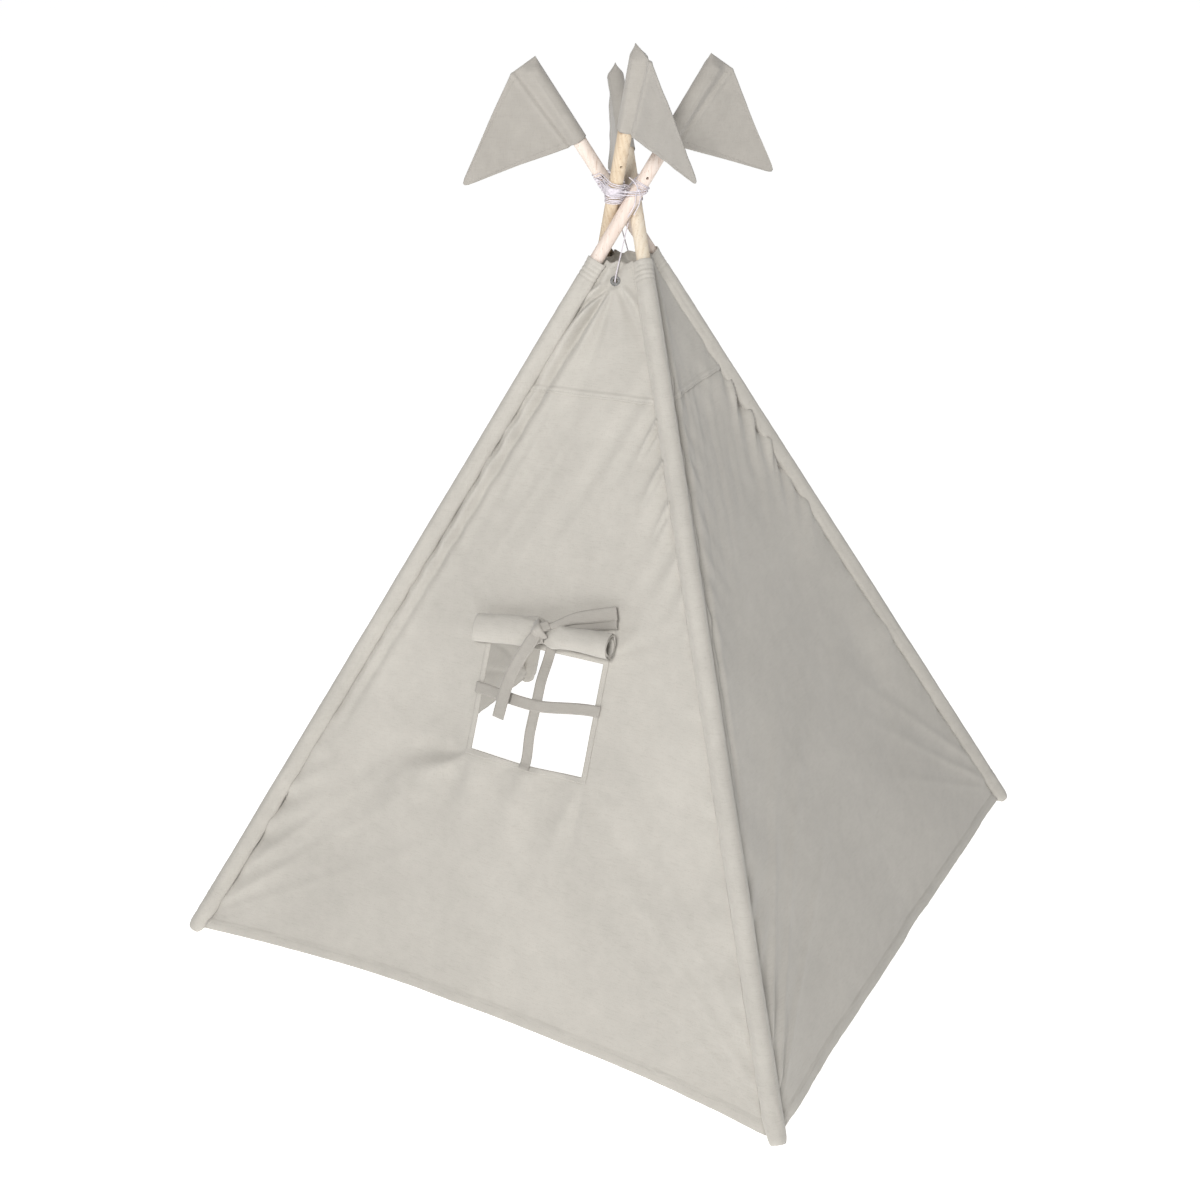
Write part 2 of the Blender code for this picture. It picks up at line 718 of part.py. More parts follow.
def build_flags(frames):
    """A pennant on each pole's top, hanging from it out and down, free to turn on the pole."""
    for quarter, frame in enumerate(frames):
        letter, trim = POLE_NAMES[quarter], POLE_TRIMS[quarter]
        flag = add(f"flag_{letter}", flag_shell(), COTTON)
        cloth = add(f"pennant_{letter}", slab("pennant", 12, 4, pennant_place), COTTON)
        for piece in (flag, cloth):
            piece.parent = frame
            piece.location.z = trim
            piece.rotation_euler.z = math.radians(FLAG_TURNS[quarter])
        join(flag, cloth)
        low = along(FLAG_BOTTOM - 0.01)
        high = along(POLE_TOP) + GAP
        bore = cylinder("bore", SLEEVE_BORE, high - low, 24)
        place = frame.matrix_world @ Matrix.Translation((0, 0, (low + high) / 2 + trim))
        boolean(flag, cutter(f"flag_bore_{letter}", bore, place), "DIFFERENCE")


def build():
    frames = pole_frames()
    bpy.context.view_layer.update()
    build_poles(frames)
    build_sleeves(frames)
    yokes = build_yokes()
    panels = build_panels()
    cut_window(panels["window"])
    build_window_bars()
    seam = build_flap()
    build_window_tie(seam)
    build_curtains()
    build_eyelets(yokes)
    build_cover_cords()
    build_lashing()
    build_flags(frames)


build()
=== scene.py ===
"""The visual model of a children's teepee tent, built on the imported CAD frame.

Metres, +Z up. The window faces -Y. Everything on one face or pole is made in the window face's or
pole a's place and turned about Z by a number of quarter turns: poles a, b, c, d and the window,
right, door and left faces follow each other round.
"""

import json
import math
from contextlib import contextmanager

import bmesh
import bpy
from mathutils import Matrix, Quaternion, Vector, noise


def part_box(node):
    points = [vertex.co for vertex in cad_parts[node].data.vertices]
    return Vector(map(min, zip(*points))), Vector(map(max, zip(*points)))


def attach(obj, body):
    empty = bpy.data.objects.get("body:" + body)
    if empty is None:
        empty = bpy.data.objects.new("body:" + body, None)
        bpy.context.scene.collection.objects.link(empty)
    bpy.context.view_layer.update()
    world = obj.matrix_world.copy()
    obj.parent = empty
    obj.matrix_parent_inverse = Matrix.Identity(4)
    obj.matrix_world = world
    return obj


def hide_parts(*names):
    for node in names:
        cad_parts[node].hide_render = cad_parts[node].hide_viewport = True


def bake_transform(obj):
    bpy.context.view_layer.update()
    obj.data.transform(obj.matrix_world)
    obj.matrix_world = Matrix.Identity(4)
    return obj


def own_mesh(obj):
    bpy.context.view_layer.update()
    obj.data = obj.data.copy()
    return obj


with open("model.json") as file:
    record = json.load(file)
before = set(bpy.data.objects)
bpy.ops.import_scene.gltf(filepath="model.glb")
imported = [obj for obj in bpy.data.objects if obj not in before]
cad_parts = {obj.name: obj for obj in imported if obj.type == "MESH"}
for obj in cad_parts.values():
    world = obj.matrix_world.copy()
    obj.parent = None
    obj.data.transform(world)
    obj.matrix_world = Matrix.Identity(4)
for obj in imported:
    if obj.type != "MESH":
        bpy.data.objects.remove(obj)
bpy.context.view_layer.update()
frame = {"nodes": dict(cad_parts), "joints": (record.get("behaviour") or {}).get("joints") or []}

JOINTS = {joint["name"]: joint for joint in frame["joints"]}
POLE_NAMES = ("a", "b", "c", "d")
FACE_NAMES = ("window", "right", "door", "left")
QUARTER = math.pi / 2
FOLD = "pole_a_fold"

# The frame's geometry, from the joints
CROSSING = Vector(JOINTS[FOLD]["pos_m"])
CROSSING_HEIGHT = CROSSING.z
POLE_OFFSET = math.hypot(CROSSING.x, CROSSING.y)
POLE_WAY = Vector(JOINTS["flag_a_turn"]["axis"]).normalized()
SPREAD = math.hypot(POLE_WAY.x, POLE_WAY.y) / POLE_WAY.z
CROSSING_ALONG = CROSSING_HEIGHT / POLE_WAY.z
POLE_RADIUS = 0.012
POLE_TOP = (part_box("pole_a")[1].z - CROSSING_HEIGHT) / POLE_WAY.z + CROSSING_ALONG

# Heights on the cover
COVER_TOP = 1.222
SEAM_HEIGHT = (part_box("panel_window")[1].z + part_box("yoke_window")[0].z) / 2
HEM_END = 0.010
HEM_ARCH = (0.027, 0.003, 0.0, 0.014)
EYELET_HEIGHT = 1.19
EYELET_FLAT = 0.016  # how far round its middle an eyelet holds the cloth flat
EYELET_HOLE = 0.0062

# Cloth
CLOTH = 0.0011
SLEEVE_RADIUS = 0.0147
SLEEVE_BULGE = 0.0055  # how much further the sleeve's cloth reaches towards its seams
SEAM_IN = 0.0165  # from a pole's axis to the edge of the cloth between the sleeves
HEM_WIDTH = 0.018
STITCH_PITCH = 0.0042
STITCH_LENGTH = 0.0029
STITCH_RADIUS = 0.00042
STITCH_INSET = 0.0022  # from a tape's edge to its stitches
RIBBON = 0.020
RIBBON_THICK = 0.0019

# Window, on the slope of its face
WINDOW_WIDTH = 0.22
WINDOW_TALL = 0.196
WINDOW_HEIGHT = 0.520
WINDOW_SHIFT = 0.015
BAR_OVERLAP = 0.011
BAR_RAISE = 0.010
ROLL_RADIUS = 0.0215
ROLL_LENGTH = 0.262
ROLL_UP = 0.120
ROLL_STANDOFF = 0.0035
TIE_AT = 0.003


def seeded(x, y, seed):
    """Smooth noise of a plane, about -1 to 1."""
    return noise.noise(Vector((x, y, 7.3 * seed + 0.37)))


def bump(value, width):
    return math.exp(-((value / width) ** 2))


def smooth(low, high, value):
    share = min(1.0, max(0.0, (value - low) / (high - low)))
    return share * share * (3 - 2 * share)


# Materials


class Nodes:
    """A material's node tree, with a short way to add a node and wire it."""

    def __init__(self, name):
        self.material = bpy.data.materials.new(name)
        self.material.use_nodes = True
        self.tree = self.material.node_tree
        self.shader = self.tree.nodes["Principled BSDF"]

    def add(self, kind, inputs=None, **settings):
        node = self.tree.nodes.new(kind)
        for key, value in settings.items():
            setattr(node, key, value)
        for key, value in (inputs or {}).items():
            self.put(node.inputs[key], value)
        return node

    def put(self, socket, value):
        if isinstance(value, bpy.types.NodeSocket):
            self.tree.links.new(value, socket)
        else:
            socket.default_value = value

    def math(self, operation, a, b=0.0):
        return self.add("ShaderNodeMath", {0: a, 1: b}, operation=operation).outputs[0]

    def place(self, scale=(1, 1, 1), turn=(0, 0, 0)):
        """The piece's own coordinates, scaled."""
        coordinates = self.add("ShaderNodeTexCoord").outputs["Object"]
        inputs = {"Vector": coordinates, "Scale": scale, "Rotation": turn}
        return self.add("ShaderNodeMapping", inputs).outputs[0]

    def noise(self, vector, scale, detail=3.0, rough=0.55):
        inputs = {"Vector": vector, "Scale": scale, "Detail": detail, "Roughness": rough}
        return self.add("ShaderNodeTexNoise", inputs).outputs["Fac"]

    def wave(self, vector, scale, direction, distortion=0.0):
        inputs = {"Vector": vector, "Scale": scale, "Distortion": distortion}
        settings = {"bands_direction": direction, "wave_profile": "SIN"}
        return self.add("ShaderNodeTexWave", inputs, **settings).outputs["Fac"]

    def ramp(self, factor, stops):
        node = self.add("ShaderNodeValToRGB", {"Fac": factor})
        band = node.color_ramp
        while len(band.elements) < len(stops):
            band.elements.new(0.5)
        for element, (place, colour) in zip(band.elements, stops, strict=True):
            element.position = place
            element.color = (*colour, 1)
        return node.outputs["Color"]

    def mix(self, factor, first, second, blend="MIX"):
        node = self.add("ShaderNodeMix", data_type="RGBA", blend_type=blend)
        for socket, value in ((0, factor), (6, first), (7, second)):
            if isinstance(value, tuple):
                value = (*value, 1)
            self.put(node.inputs[socket], value)
        return node.outputs[2]

    def bump(self, height, strength, distance, normal=None):
        inputs = {"Height": height, "Strength": strength, "Distance": distance}
        if normal is not None:
            inputs["Normal"] = normal
        return self.add("ShaderNodeBump", inputs).outputs["Normal"]

    def finish(self, **inputs):
        for key, value in inputs.items():
            name = key.replace("_", " ").title().replace("Ior", "IOR")
            if isinstance(value, tuple) and len(value) == 3:
                value = (*value, 1)
            self.put(self.shader.inputs[name], value)
        return self.material


def cotton(name, colour, turn=(0, 0, 0), slub=1.0):
    """Plain-weave canvas: threads both ways, uneven yarn, and a soft mottle."""
    nodes = Nodes(name)
    place = nodes.place(turn=turn)
    mottle = nodes.noise(place, 5.0, 4.0, 0.6)
    blotch = nodes.noise(place, 38.0, 3.0, 0.6)
    warp = nodes.noise(nodes.place((900, 900, 60), turn), 1.0, 2.0)
    weft = nodes.noise(nodes.place((60, 60, 900), turn), 1.0, 2.0)
    threads = nodes.math("ADD", warp, weft)
    darker = tuple(part * 0.90 for part in colour)
    lighter = tuple(min(1, part * 1.07) for part in colour)
    tone = nodes.ramp(mottle, ((0.30, darker), (0.72, lighter)))
    tone = nodes.mix(0.30, tone, nodes.ramp(blotch, ((0.35, darker), (0.68, lighter))))
    yarn = nodes.ramp(threads, ((0.70, (0.86, 0.85, 0.84)), (1.25, (1.0, 1.0, 1.0))))
    tone = nodes.mix(0.75 * slub, tone, yarn, "MULTIPLY")
    across = nodes.wave(nodes.place(turn=turn), 250.0, "X", 0.6)
    up = nodes.wave(nodes.place(turn=turn), 250.0, "Z", 0.6)
    weave = nodes.math("MULTIPLY", across, up)
    weave = nodes.math("ADD", weave, nodes.math("MULTIPLY", threads, 0.5))
    normal = nodes.bump(weave, 0.35, 0.0004)
    normal = nodes.bump(nodes.noise(place, 60.0, 4.0), 0.12, 0.002, normal)
    rough = nodes.math("ADD", 0.84, nodes.math("MULTIPLY", blotch, 0.10))
    return nodes.finish(
        base_color=tone, roughness=rough, normal=normal, sheen_weight=0.25, sheen_roughness=0.5,
        specular_ior_level=0.25
    )


def pine(name, light, dark, along):
    """Sanded pine: long grain, growth bands, pores and a few knots."""
    nodes = Nodes(name)
    spin = Vector((0, 0, 1)).rotation_difference(along).inverted().to_euler()
    place = nodes.place(turn=tuple(spin))
    grain = nodes.noise(nodes.place((60, 60, 3), tuple(spin)), 1.0, 6.0, 0.65)
    bands = nodes.wave(nodes.place((1, 1, 0.05), tuple(spin)), 45.0, "X", 5.0)
    stain = nodes.noise(place, 4.0, 2.0)
    tone = nodes.ramp(grain, ((0.30, dark), (0.62, light)))
    tone = nodes.mix(0.35, tone, nodes.ramp(bands, ((0.2, dark), (0.75, light))))
    tone = nodes.mix(nodes.math("MULTIPLY", stain, 0.35), tone, light)
    pores = nodes.noise(nodes.place((500, 500, 22), tuple(spin)), 1.0, 2.0)
    specks = nodes.ramp(pores, ((0.28, (0.62, 0.50, 0.42)), (0.40, (1, 1, 1))))
    tone = nodes.mix(0.7, tone, specks, "MULTIPLY")
    inputs = {"Vector": place, "Scale": 7.0, "Randomness": 1.0}
    spots = nodes.add("ShaderNodeTexVoronoi", inputs).outputs["Distance"]
    knots = nodes.ramp(spots, ((0.03, (0.33, 0.20, 0.14)), (0.075, (1, 1, 1))))
    tone = nodes.mix(0.9, tone, knots, "MULTIPLY")
    height = nodes.math("ADD", grain, nodes.math("MULTIPLY", pores, 0.5))
    return nodes.finish(
        base_color=tone, roughness=nodes.math("ADD", 0.5, nodes.math("MULTIPLY", grain, 0.2)),
        normal=nodes.bump(height, 0.25, 0.0006), specular_ior_level=0.3
    )


def thread(name, colour):
    """Sewing thread and cord: twisted strands with a soft shine."""
    nodes = Nodes(name)
    strands = nodes.wave(nodes.place(turn=(0.6, 0.5, 0.3)), 420.0, "DIAGONAL", 1.0)
    fuzz = nodes.noise(nodes.place(), 700.0, 2.0)
    shade = tuple(part * 0.80 for part in colour)
    tone = nodes.ramp(nodes.math("MULTIPLY", strands, fuzz), ((0.05, shade), (0.4, colour)))
    return nodes.finish(
        base_color=tone, roughness=nodes.math("ADD", 0.6, nodes.math("MULTIPLY", fuzz, 0.2)),
        normal=nodes.bump(strands, 0.5, 0.0004), sheen_weight=0.2
    )


def steel(name):
    nodes = Nodes(name)
    scratches = nodes.noise(nodes.place((300, 300, 300)), 1.0, 4.0)
    tone = nodes.ramp(scratches, ((0.3, (0.55, 0.54, 0.52)), (0.7, (0.75, 0.74, 0.72))))
    rough = nodes.math("ADD", 0.12, nodes.math("MULTIPLY", scratches, 0.10))
    return nodes.finish(base_color=tone, roughness=rough, metallic=1.0)


def flooring(name):
    nodes = Nodes(name)
    soft = nodes.noise(nodes.place(), 0.7, 2.0)
    tone = nodes.ramp(soft, ((0.3, (0.88, 0.88, 0.88)), (0.7, (0.90, 0.90, 0.90))))
    return nodes.finish(
        base_color=tone, roughness=0.9, specular_ior_level=0.1, emission_color=(1.0, 1.0, 1.0),
        emission_strength=0.86
    )


COVER = cotton("cover_cotton", (0.500, 0.475, 0.430))
FLAG = cotton("flag_cotton", (0.385, 0.362, 0.328), slub=0.8)
TAPE = cotton("tape_cotton", (0.400, 0.376, 0.340))
SEAM_THREAD = thread("seam_thread", (0.44, 0.42, 0.38))
ROPE = thread("rope_cotton", (0.80, 0.75, 0.80))
STEEL = steel("eyelet_steel")


# Mesh helpers


def mesh_of(name, points, faces):
    mesh = bpy.data.meshes.new(name)
    mesh.from_pydata([tuple(point) for point in points], [], faces)
    mesh.validate()
    mesh.update()
    mesh.shade_smooth()
    return mesh


def grid_faces(columns, rows, first=0, ring=False):
    """Quads of a grid of points listed row by row; a ring's last column joins its first."""
    width = columns if ring else columns + 1
    faces = []
    for row in range(rows):
        for column in range(columns):
            low = first + row * width + column
            after = first + row * width + (column + 1) % width
            faces.append((low, after, after + width, low + width))
    return faces


def spread(*runs):
    """Values from (start, end, count) runs that follow each other."""
    values = [runs[0][0]]
    for start, end, count in runs:
        values += [start + (end - start) * step / count for step in range(1, count + 1)]
    return values


def grid(name, columns, rows, place, ring=False):
    """A sheet or a tube of quads. place(across, up) says where each point goes.

    rows is a number of equal rows, or the list of the values that up takes.
    """
    ups = rows if isinstance(rows, list) else spread((0.0, 1.0, rows))
    count = columns if ring else columns + 1
    points = [place(column / columns, up) for up in ups for column in range(count)]
    return mesh_of(name, points, grid_faces(columns, len(ups) - 1, ring=ring))


def turned(quarter):
    return Matrix.Rotation(quarter * QUARTER, 3, "Z")


@contextmanager
def editing(mesh):
    """A bmesh of the mesh, which is written back at the end."""
    bm = bmesh.new()
    bm.from_mesh(mesh)
    yield bm
    bm.to_mesh(mesh)
    bm.free()


def thicken(obj, thickness):
    """Gives a sheet its thickness, behind the surface that it was drawn as."""
    solidify = obj.modifiers.new("Cloth", "SOLIDIFY")
    solidify.thickness = thickness
    solidify.offset = -1.0
    solidify.use_rim = True


def put(name, mesh, look, body, quarter=0, stands_for=(), sheet=None, fold=False):
    """A piece from a mesh made in the window face's place, turned into its own.

    It rides its body; given (body, body, start, end) instead, it rides no body and its turn is baked into
    its mesh.
    """
    obj = bpy.data.objects.new(name, mesh)
    bpy.context.scene.collection.objects.link(obj)
    obj.rotation_euler = (0, 0, quarter * QUARTER)
    mesh.materials.append(look)
    if isinstance(body, tuple):
        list(body)
        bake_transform(obj)
    else:
        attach(obj, body)
    if stands_for:
        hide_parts(*stands_for)
    if sheet:
        thicken(obj, sheet.pop("thickness", CLOTH))
    if fold:
        middle = turned(quarter) @ on_face(0.5, SEAM_HEIGHT)
        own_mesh(obj)
    return obj


def catmull(points, steps):
    """A smooth path through points, with steps points for each span."""
    points = [Vector(point) for point in points]
    ends = [2 * points[0] - points[1], *points, 2 * points[-1] - points[-2]]
    path = []
    for p0, p1, p2, p3 in zip(ends, ends[1:], ends[2:], ends[3:]):
        for step in range(steps):
            t = step / steps
            path.append(
                0.5
                * (
                    2 * p1
                    + (p2 - p0) * t
                    + (2 * p0 - 5 * p1 + 4 * p2 - p3) * t * t
                    + (3 * p1 - p0 - 3 * p2 + p3) * t**3
                )
            )
    return [*path, points[-1]]


def frames_along(path, up):
    """(point, ahead, side, out) at each point of a path, with out kept near up."""
    found = []
    for index, point in enumerate(path):
        ahead = path[min(index + 1, len(path) - 1)] - path[max(index - 1, 0)]
        ahead.normalize()
        lift = up[index] if isinstance(up, list) else up
        out = (lift - ahead * lift.dot(ahead)).normalized()
        found.append((point, ahead, out.cross(ahead), out))
    return found


TWIST = 900.0  # radians in a metre of cord


class Tubes:
    """Round strands gathered into one mesh."""

    def __init__(self):
        self.points = []
        self.faces = []

    def strand(self, path, radius, sides=7):
        """A closed tube along a path, with the outline of three twisted strands."""
        first = len(self.points)
        up = Vector((0.31, 0.22, 0.93))
        ahead = (path[1] - path[0]).normalized()
        out = (up - ahead * up.dot(ahead)).normalized()
        travelled = 0.0
        for index, point in enumerate(path):
            before = path[max(index - 1, 0)]
            ahead = (path[min(index + 1, len(path) - 1)] - before).normalized()
            out = (out - ahead * out.dot(ahead)).normalized()
            side = ahead.cross(out)
            travelled += (point - before).length
            for step in range(sides):
                angle = 2 * math.pi * step / sides
                swell = 0.84 + 0.16 * abs(math.cos(1.5 * (angle + TWIST * travelled)))
                arm = out * math.cos(angle) + side * math.sin(angle)
                self.points.append(point + arm * radius * swell)
        self.faces += grid_faces(sides, len(path) - 1, first, ring=True)
        last = first + (len(path) - 1) * sides
        self.faces.append(tuple(range(first + sides - 1, first - 1, -1)))
        self.faces.append(tuple(range(last, last + sides)))

    def mesh(self, name):
        return mesh_of(name, self.points, self.faces)


class Stitches:
    """Sewn lines of one face or pole, gathered into one mesh of short beads."""

    def __init__(self):
        self.points = []
        self.faces = []

    def line(self, path, normals):
        """Stitches along a path that lies on the cloth."""
        lengths = [0.0]
        for before, point in zip(path, path[1:]):
            lengths.append(lengths[-1] + (point - before).length)
        count = int(lengths[-1] / STITCH_PITCH)
        index = 0
        for number in range(count):
            ends = []
            for distance in (number * STITCH_PITCH, number * STITCH_PITCH + STITCH_LENGTH):
                while index < len(lengths) - 2 and lengths[index + 1] < distance:
                    index += 1
                span = max(lengths[index + 1] - lengths[index], 1e-9)
                share = (distance - lengths[index]) / span
                ends.append(path[index].lerp(path[index + 1], share))
            self.bead(*ends, normals[index])

    def bead(self, start, end, normal):
        first = len(self.points)
        ahead = (end - start).normalized()
        side = ahead.cross(normal).normalized()
        middle = (start + end) / 2
        for arm in (normal, side, -normal, -side):
            self.points.append(middle + arm * STITCH_RADIUS)
        self.points += [start - normal * STITCH_RADIUS, end - normal * STITCH_RADIUS]
        for step in range(4):
            after = (step + 1) % 4
            self.faces.append((first + step, first + after, first + 4))
            self.faces.append((first + after, first + step, first + 5))

    def put(self, name, body, slot, quarter=0, fold=False):
        mesh = mesh_of(name, self.points, self.faces)
        with editing(mesh) as bm:
            bmesh.ops.recalc_face_normals(bm, faces=bm.faces[:])
        return put(name, mesh, SEAM_THREAD, body, quarter, fold=fold)


# The window face's geometry, which the other faces repeat


def left_axis(height):
    reach = SPREAD * (height - CROSSING_HEIGHT)
    flat = Vector((reach + POLE_OFFSET, reach - POLE_OFFSET, 0)) / math.sqrt(2)
    return flat + Vector((0, 0, height))


def right_axis(height):
    return turned(1) @ left_axis(height)


def chord(height):
    return right_axis(height) - left_axis(height)


LEFT_WAY = (left_axis(1) - left_axis(0)).normalized()
RIGHT_WAY = (right_axis(1) - right_axis(0)).normalized()
SLOPE = (left_axis(1).lerp(right_axis(1), 0.5) - left_axis(0).lerp(right_axis(0), 0.5)).length
EDGE_SINE = chord(0.5).normalized().cross(LEFT_WAY).length


def on_face(across, height, off=0.0):
    """A point of the window face: across is 0 at pole a and 1 at pole b, off is outwards."""
    rise = LEFT_WAY.lerp(RIGHT_WAY, across)
    normal = chord(height).cross(rise).normalized()
    return left_axis(height).lerp(right_axis(height), across) + normal * off


def face_normal(across=0.5, height=0.5):
    return (on_face(across, height, 1.0) - on_face(across, height)).normalized()


def edge_share(height):
    """The share of the chord from a pole's axis to the cloth's edge."""
    return SEAM_IN / EDGE_SINE / chord(height).length


WINDOW_MIDDLE = on_face(0.5 + WINDOW_SHIFT / chord(WINDOW_HEIGHT).length, WINDOW_HEIGHT)
WINDOW_ACROSS = chord(WINDOW_HEIGHT).normalized()
WINDOW_OUT = face_normal(0.5, WINDOW_HEIGHT)
WINDOW_UP = WINDOW_OUT.cross(WINDOW_ACROSS)


def in_window(point):
    """(across, up) from the window's middle."""
    away = point - WINDOW_MIDDLE
    return away.dot(WINDOW_ACROSS), away.dot(WINDOW_UP)


def by_window(across, up, off=0.0):
    return WINDOW_MIDDLE + WINDOW_ACROSS * across + WINDOW_UP * up + WINDOW_OUT * off


def hem_height(quarter, across):
    return HEM_END + HEM_ARCH[quarter] * 4 * across * (1 - across)


# Relief of the cloth


def pucker(edge, along, seed):
    """Short gathers beside a seam: edge is the distance from it and along runs down it."""
    near = math.exp(-edge / 0.022)
    short = seeded(along * 40, edge * 6, seed)
    long = seeded(along * 13 + edge * 14, edge * 5, seed + 5)
    far = math.exp(-edge / 0.085)
    return 0.0024 * near * short + 0.0040 * far * long - 0.0016 * math.exp(-edge / 0.006)


def drag(edge, along, lean, pitch, centre, reach, decay):
    """A patch of diagonal folds that run out of a seam."""
    phase = (along + lean * edge) * 2 * math.pi / pitch
    uneven = 1 + 0.5 * seeded(along * 9, edge * 7, 33)
    ridge = math.sin(phase + 2.2 * seeded(along * 7, edge * 3, 34))
    return ridge * uneven * bump(along - centre, reach) * math.exp(-edge / decay)


def pinch(edge, along, place):
    """One sharp crease that runs down and away from a seam, with a roll of cloth beside it."""
    off = along - place + 1.4 * edge
    return (bump(off - 0.009, 0.007) - 1.1 * bump(off, 0.006)) * bump(edge - 0.006, 0.026)


def window_folds(point):
    """Soft folds that run out of the window's corners and below its sill."""
    across, up = in_window(point)
    total = 0.0
    corners = (
        (-1, -1, 0.0090, -2.45, 5.2, 0.30), (1, -1, 0.0040, -1.25, 9.0, 0.20),
        (-1, 1, 0.0030, 2.3, 9.0, 0.12), (1, 1, 0.0020, 0.9, 9.0, 0.12)
    )
    for side, level, strength, lean, waves, reach in corners:
        x = across - side * WINDOW_WIDTH / 2
        y = up - level * WINDOW_TALL / 2
        distance = math.hypot(x, y)
        angle = (math.atan2(y, x) - lean + math.pi) % (2 * math.pi) - math.pi
        wave = math.sin(angle * waves + 4 * seeded(distance * 5, angle, 35))
        fade = smooth(0.0, 0.075, distance) * bump(distance, reach)
        total += strength * bump(angle, 0.70) * wave * fade
    below = -WINDOW_TALL / 2 - up
    if below > 0 and abs(across) < 0.20:
        wave = math.sin(across * 62 + below * 10 + 1.0)
        total += 0.0058 * wave * bump(below, 0.13) * bump(across, 0.12) * smooth(0, 0.014, below)
    return total


def yoke_folds(x, height):
    """Folds that run from the eyelet down to the sleeves."""
    rise = (height - EYELET_HEIGHT) * SLOPE
    distance = math.hypot(x, rise)
    angle = math.atan2(rise, x)
    total = 0.0
    folds = (
        (-2.62, 0.0052, 0.0050),
        (-2.38, -0.0070, 0.0050),
        (-2.20, 0.0062, 0.0050),
        (-2.04, -0.0056, 0.0045),
        (-1.87, 0.0040, 0.0045),
        (-1.69, -0.0030, 0.0045),
        (-1.20, 0.0020, 0.0060),
        (-0.95, -0.0030, 0.0050),
        (-0.70, 0.0036, 0.0050),
    )
    for aim, strength, width in folds:
        apart = (angle - aim + math.pi) % (2 * math.pi) - math.pi
        if abs(apart) < 1.2:
            beside = distance * math.sin(apart)
            fade = smooth(0.008, 0.030, distance) * bump(distance, 0.26)
            total += strength * bump(beside, width + 0.042 * distance) * fade
    return total


def foot_folds(edge, along):
    """Long soft folds that run up and inwards from a foot."""
    total = 0.0
    for start, lean, strength in ((0.12, 0.50, 0.0042), (0.06, 0.68, 0.0038), (0.04, 1.20, 0.0024)):
        run = math.hypot(edge, along - start)
        if along > start:
            ridge = bump(edge - lean * (along - start), 0.007 + 0.032 * run)
            total += strength * ridge * bump(run, 0.36) * smooth(0.0, 0.03, run)
    return total


def relief(quarter, across, height, point):
    """How far the cloth stands out from the flat face."""
    seed = quarter + 1
    span = chord(height).length
    slope = height * SLOPE
    left = (across * span - SEAM_IN) * EDGE_SINE
    right = ((1 - across) * span - SEAM_IN) * EDGE_SINE
    left, right = max(left, 0.0), max(right, 0.0)
    narrow = smooth(1.18, 0.95, height) * 0.75 + 0.25
    off = (pucker(left, slope, seed) + pucker(right, slope, seed + 2)) * narrow
    wide = min(left, right)
    inner = smooth(0.0, 0.12, wide)
    x = (across - 0.5) * span
    off += inner * 0.0065 * seeded(x * 2.6, slope * 1.7, seed + 9)
    off += inner * 0.0020 * seeded(x * 8, slope * 4, seed + 11)
    off -= 0.006 * inner * bump(height - 0.45, 0.5)
    upper = smooth(0.60, 0.85, height) * smooth(0.0, 0.02, wide) * smooth(1.06, 1.00, height)
    drape = seeded(left * 26, slope * 2.2, seed + 13) + 0.5 * seeded(left * 55, slope * 4, seed + 14)
    off += 0.0046 * upper * drape * math.exp(-left / 0.20)
    drape = seeded(right * 28, slope * 2.4, seed + 15)
    off += 0.0026 * upper * drape * math.exp(-right / 0.16)
    low = max(0.0, height - hem_height(quarter, across))
    off += 0.0016 * seeded(x * 9, low * 4, seed + 17) * bump(low, 0.08) * smooth(0, 0.1, wide)
    below_seam = SEAM_HEIGHT * SLOPE
    off += 0.0052 * drag(right, slope, 1.45, 0.062, below_seam - 0.17, 0.15, 0.040)
    off += 0.0022 * drag(left, slope, 1.3, 0.060, below_seam - 0.20, 0.25, 0.060)
    off += 0.0030 * drag(left, slope, -0.9, 0.075, 0.22, 0.16, 0.060)
    for drop, strength in ((0.040, 0.0060), (0.105, 0.0045), (0.170, 0.0036)):
        off += strength * pinch(right, slope, below_seam - drop - 0.006 * quarter)
    seam_roll = 1 + 0.6 * seeded(slope * 5, 0.3, seed + 21)
    off += 0.0026 * seam_roll * bump(left - 0.015, 0.006) * smooth(0.35, 0.60, height)
    off -= 0.0030 * seam_roll * bump(left - 0.028, 0.006) * smooth(0.35, 0.60, height)
    off += 0.0016 * seam_roll * bump(left - 0.044, 0.009) * smooth(0.35, 0.60, height)
    off += foot_folds(left, slope) * (0.45 if quarter == 0 else 1.0)
    off += foot_folds(right, slope) * 0.5
    off *= 1.45
    if quarter == 0:
        off += window_folds(point)
    if quarter in (0, 2) and height > 0.72:
        off += 1.35 * yoke_folds(x, height) * smooth(0.0, 0.012, wide)
    return off


def cloth_point(quarter, share, height, extra=0.0):
    """A point of a face's cloth: share runs from one sleeve's seam to the other's."""
    inset = edge_share(height)
    across = inset + (1 - 2 * inset) * share
    flat = on_face(across, height)
    return on_face(across, height, relief(quarter, across, height, flat) + extra)


def cloth_line(quarter, pairs, extra):
    """A path on the cloth and its normals, from (share, height) pairs."""
    path = [cloth_point(quarter, share, height, extra) for share, height in pairs]
    normals = [face_normal(share, height) for share, height in pairs]
    return path, normals


# Cover


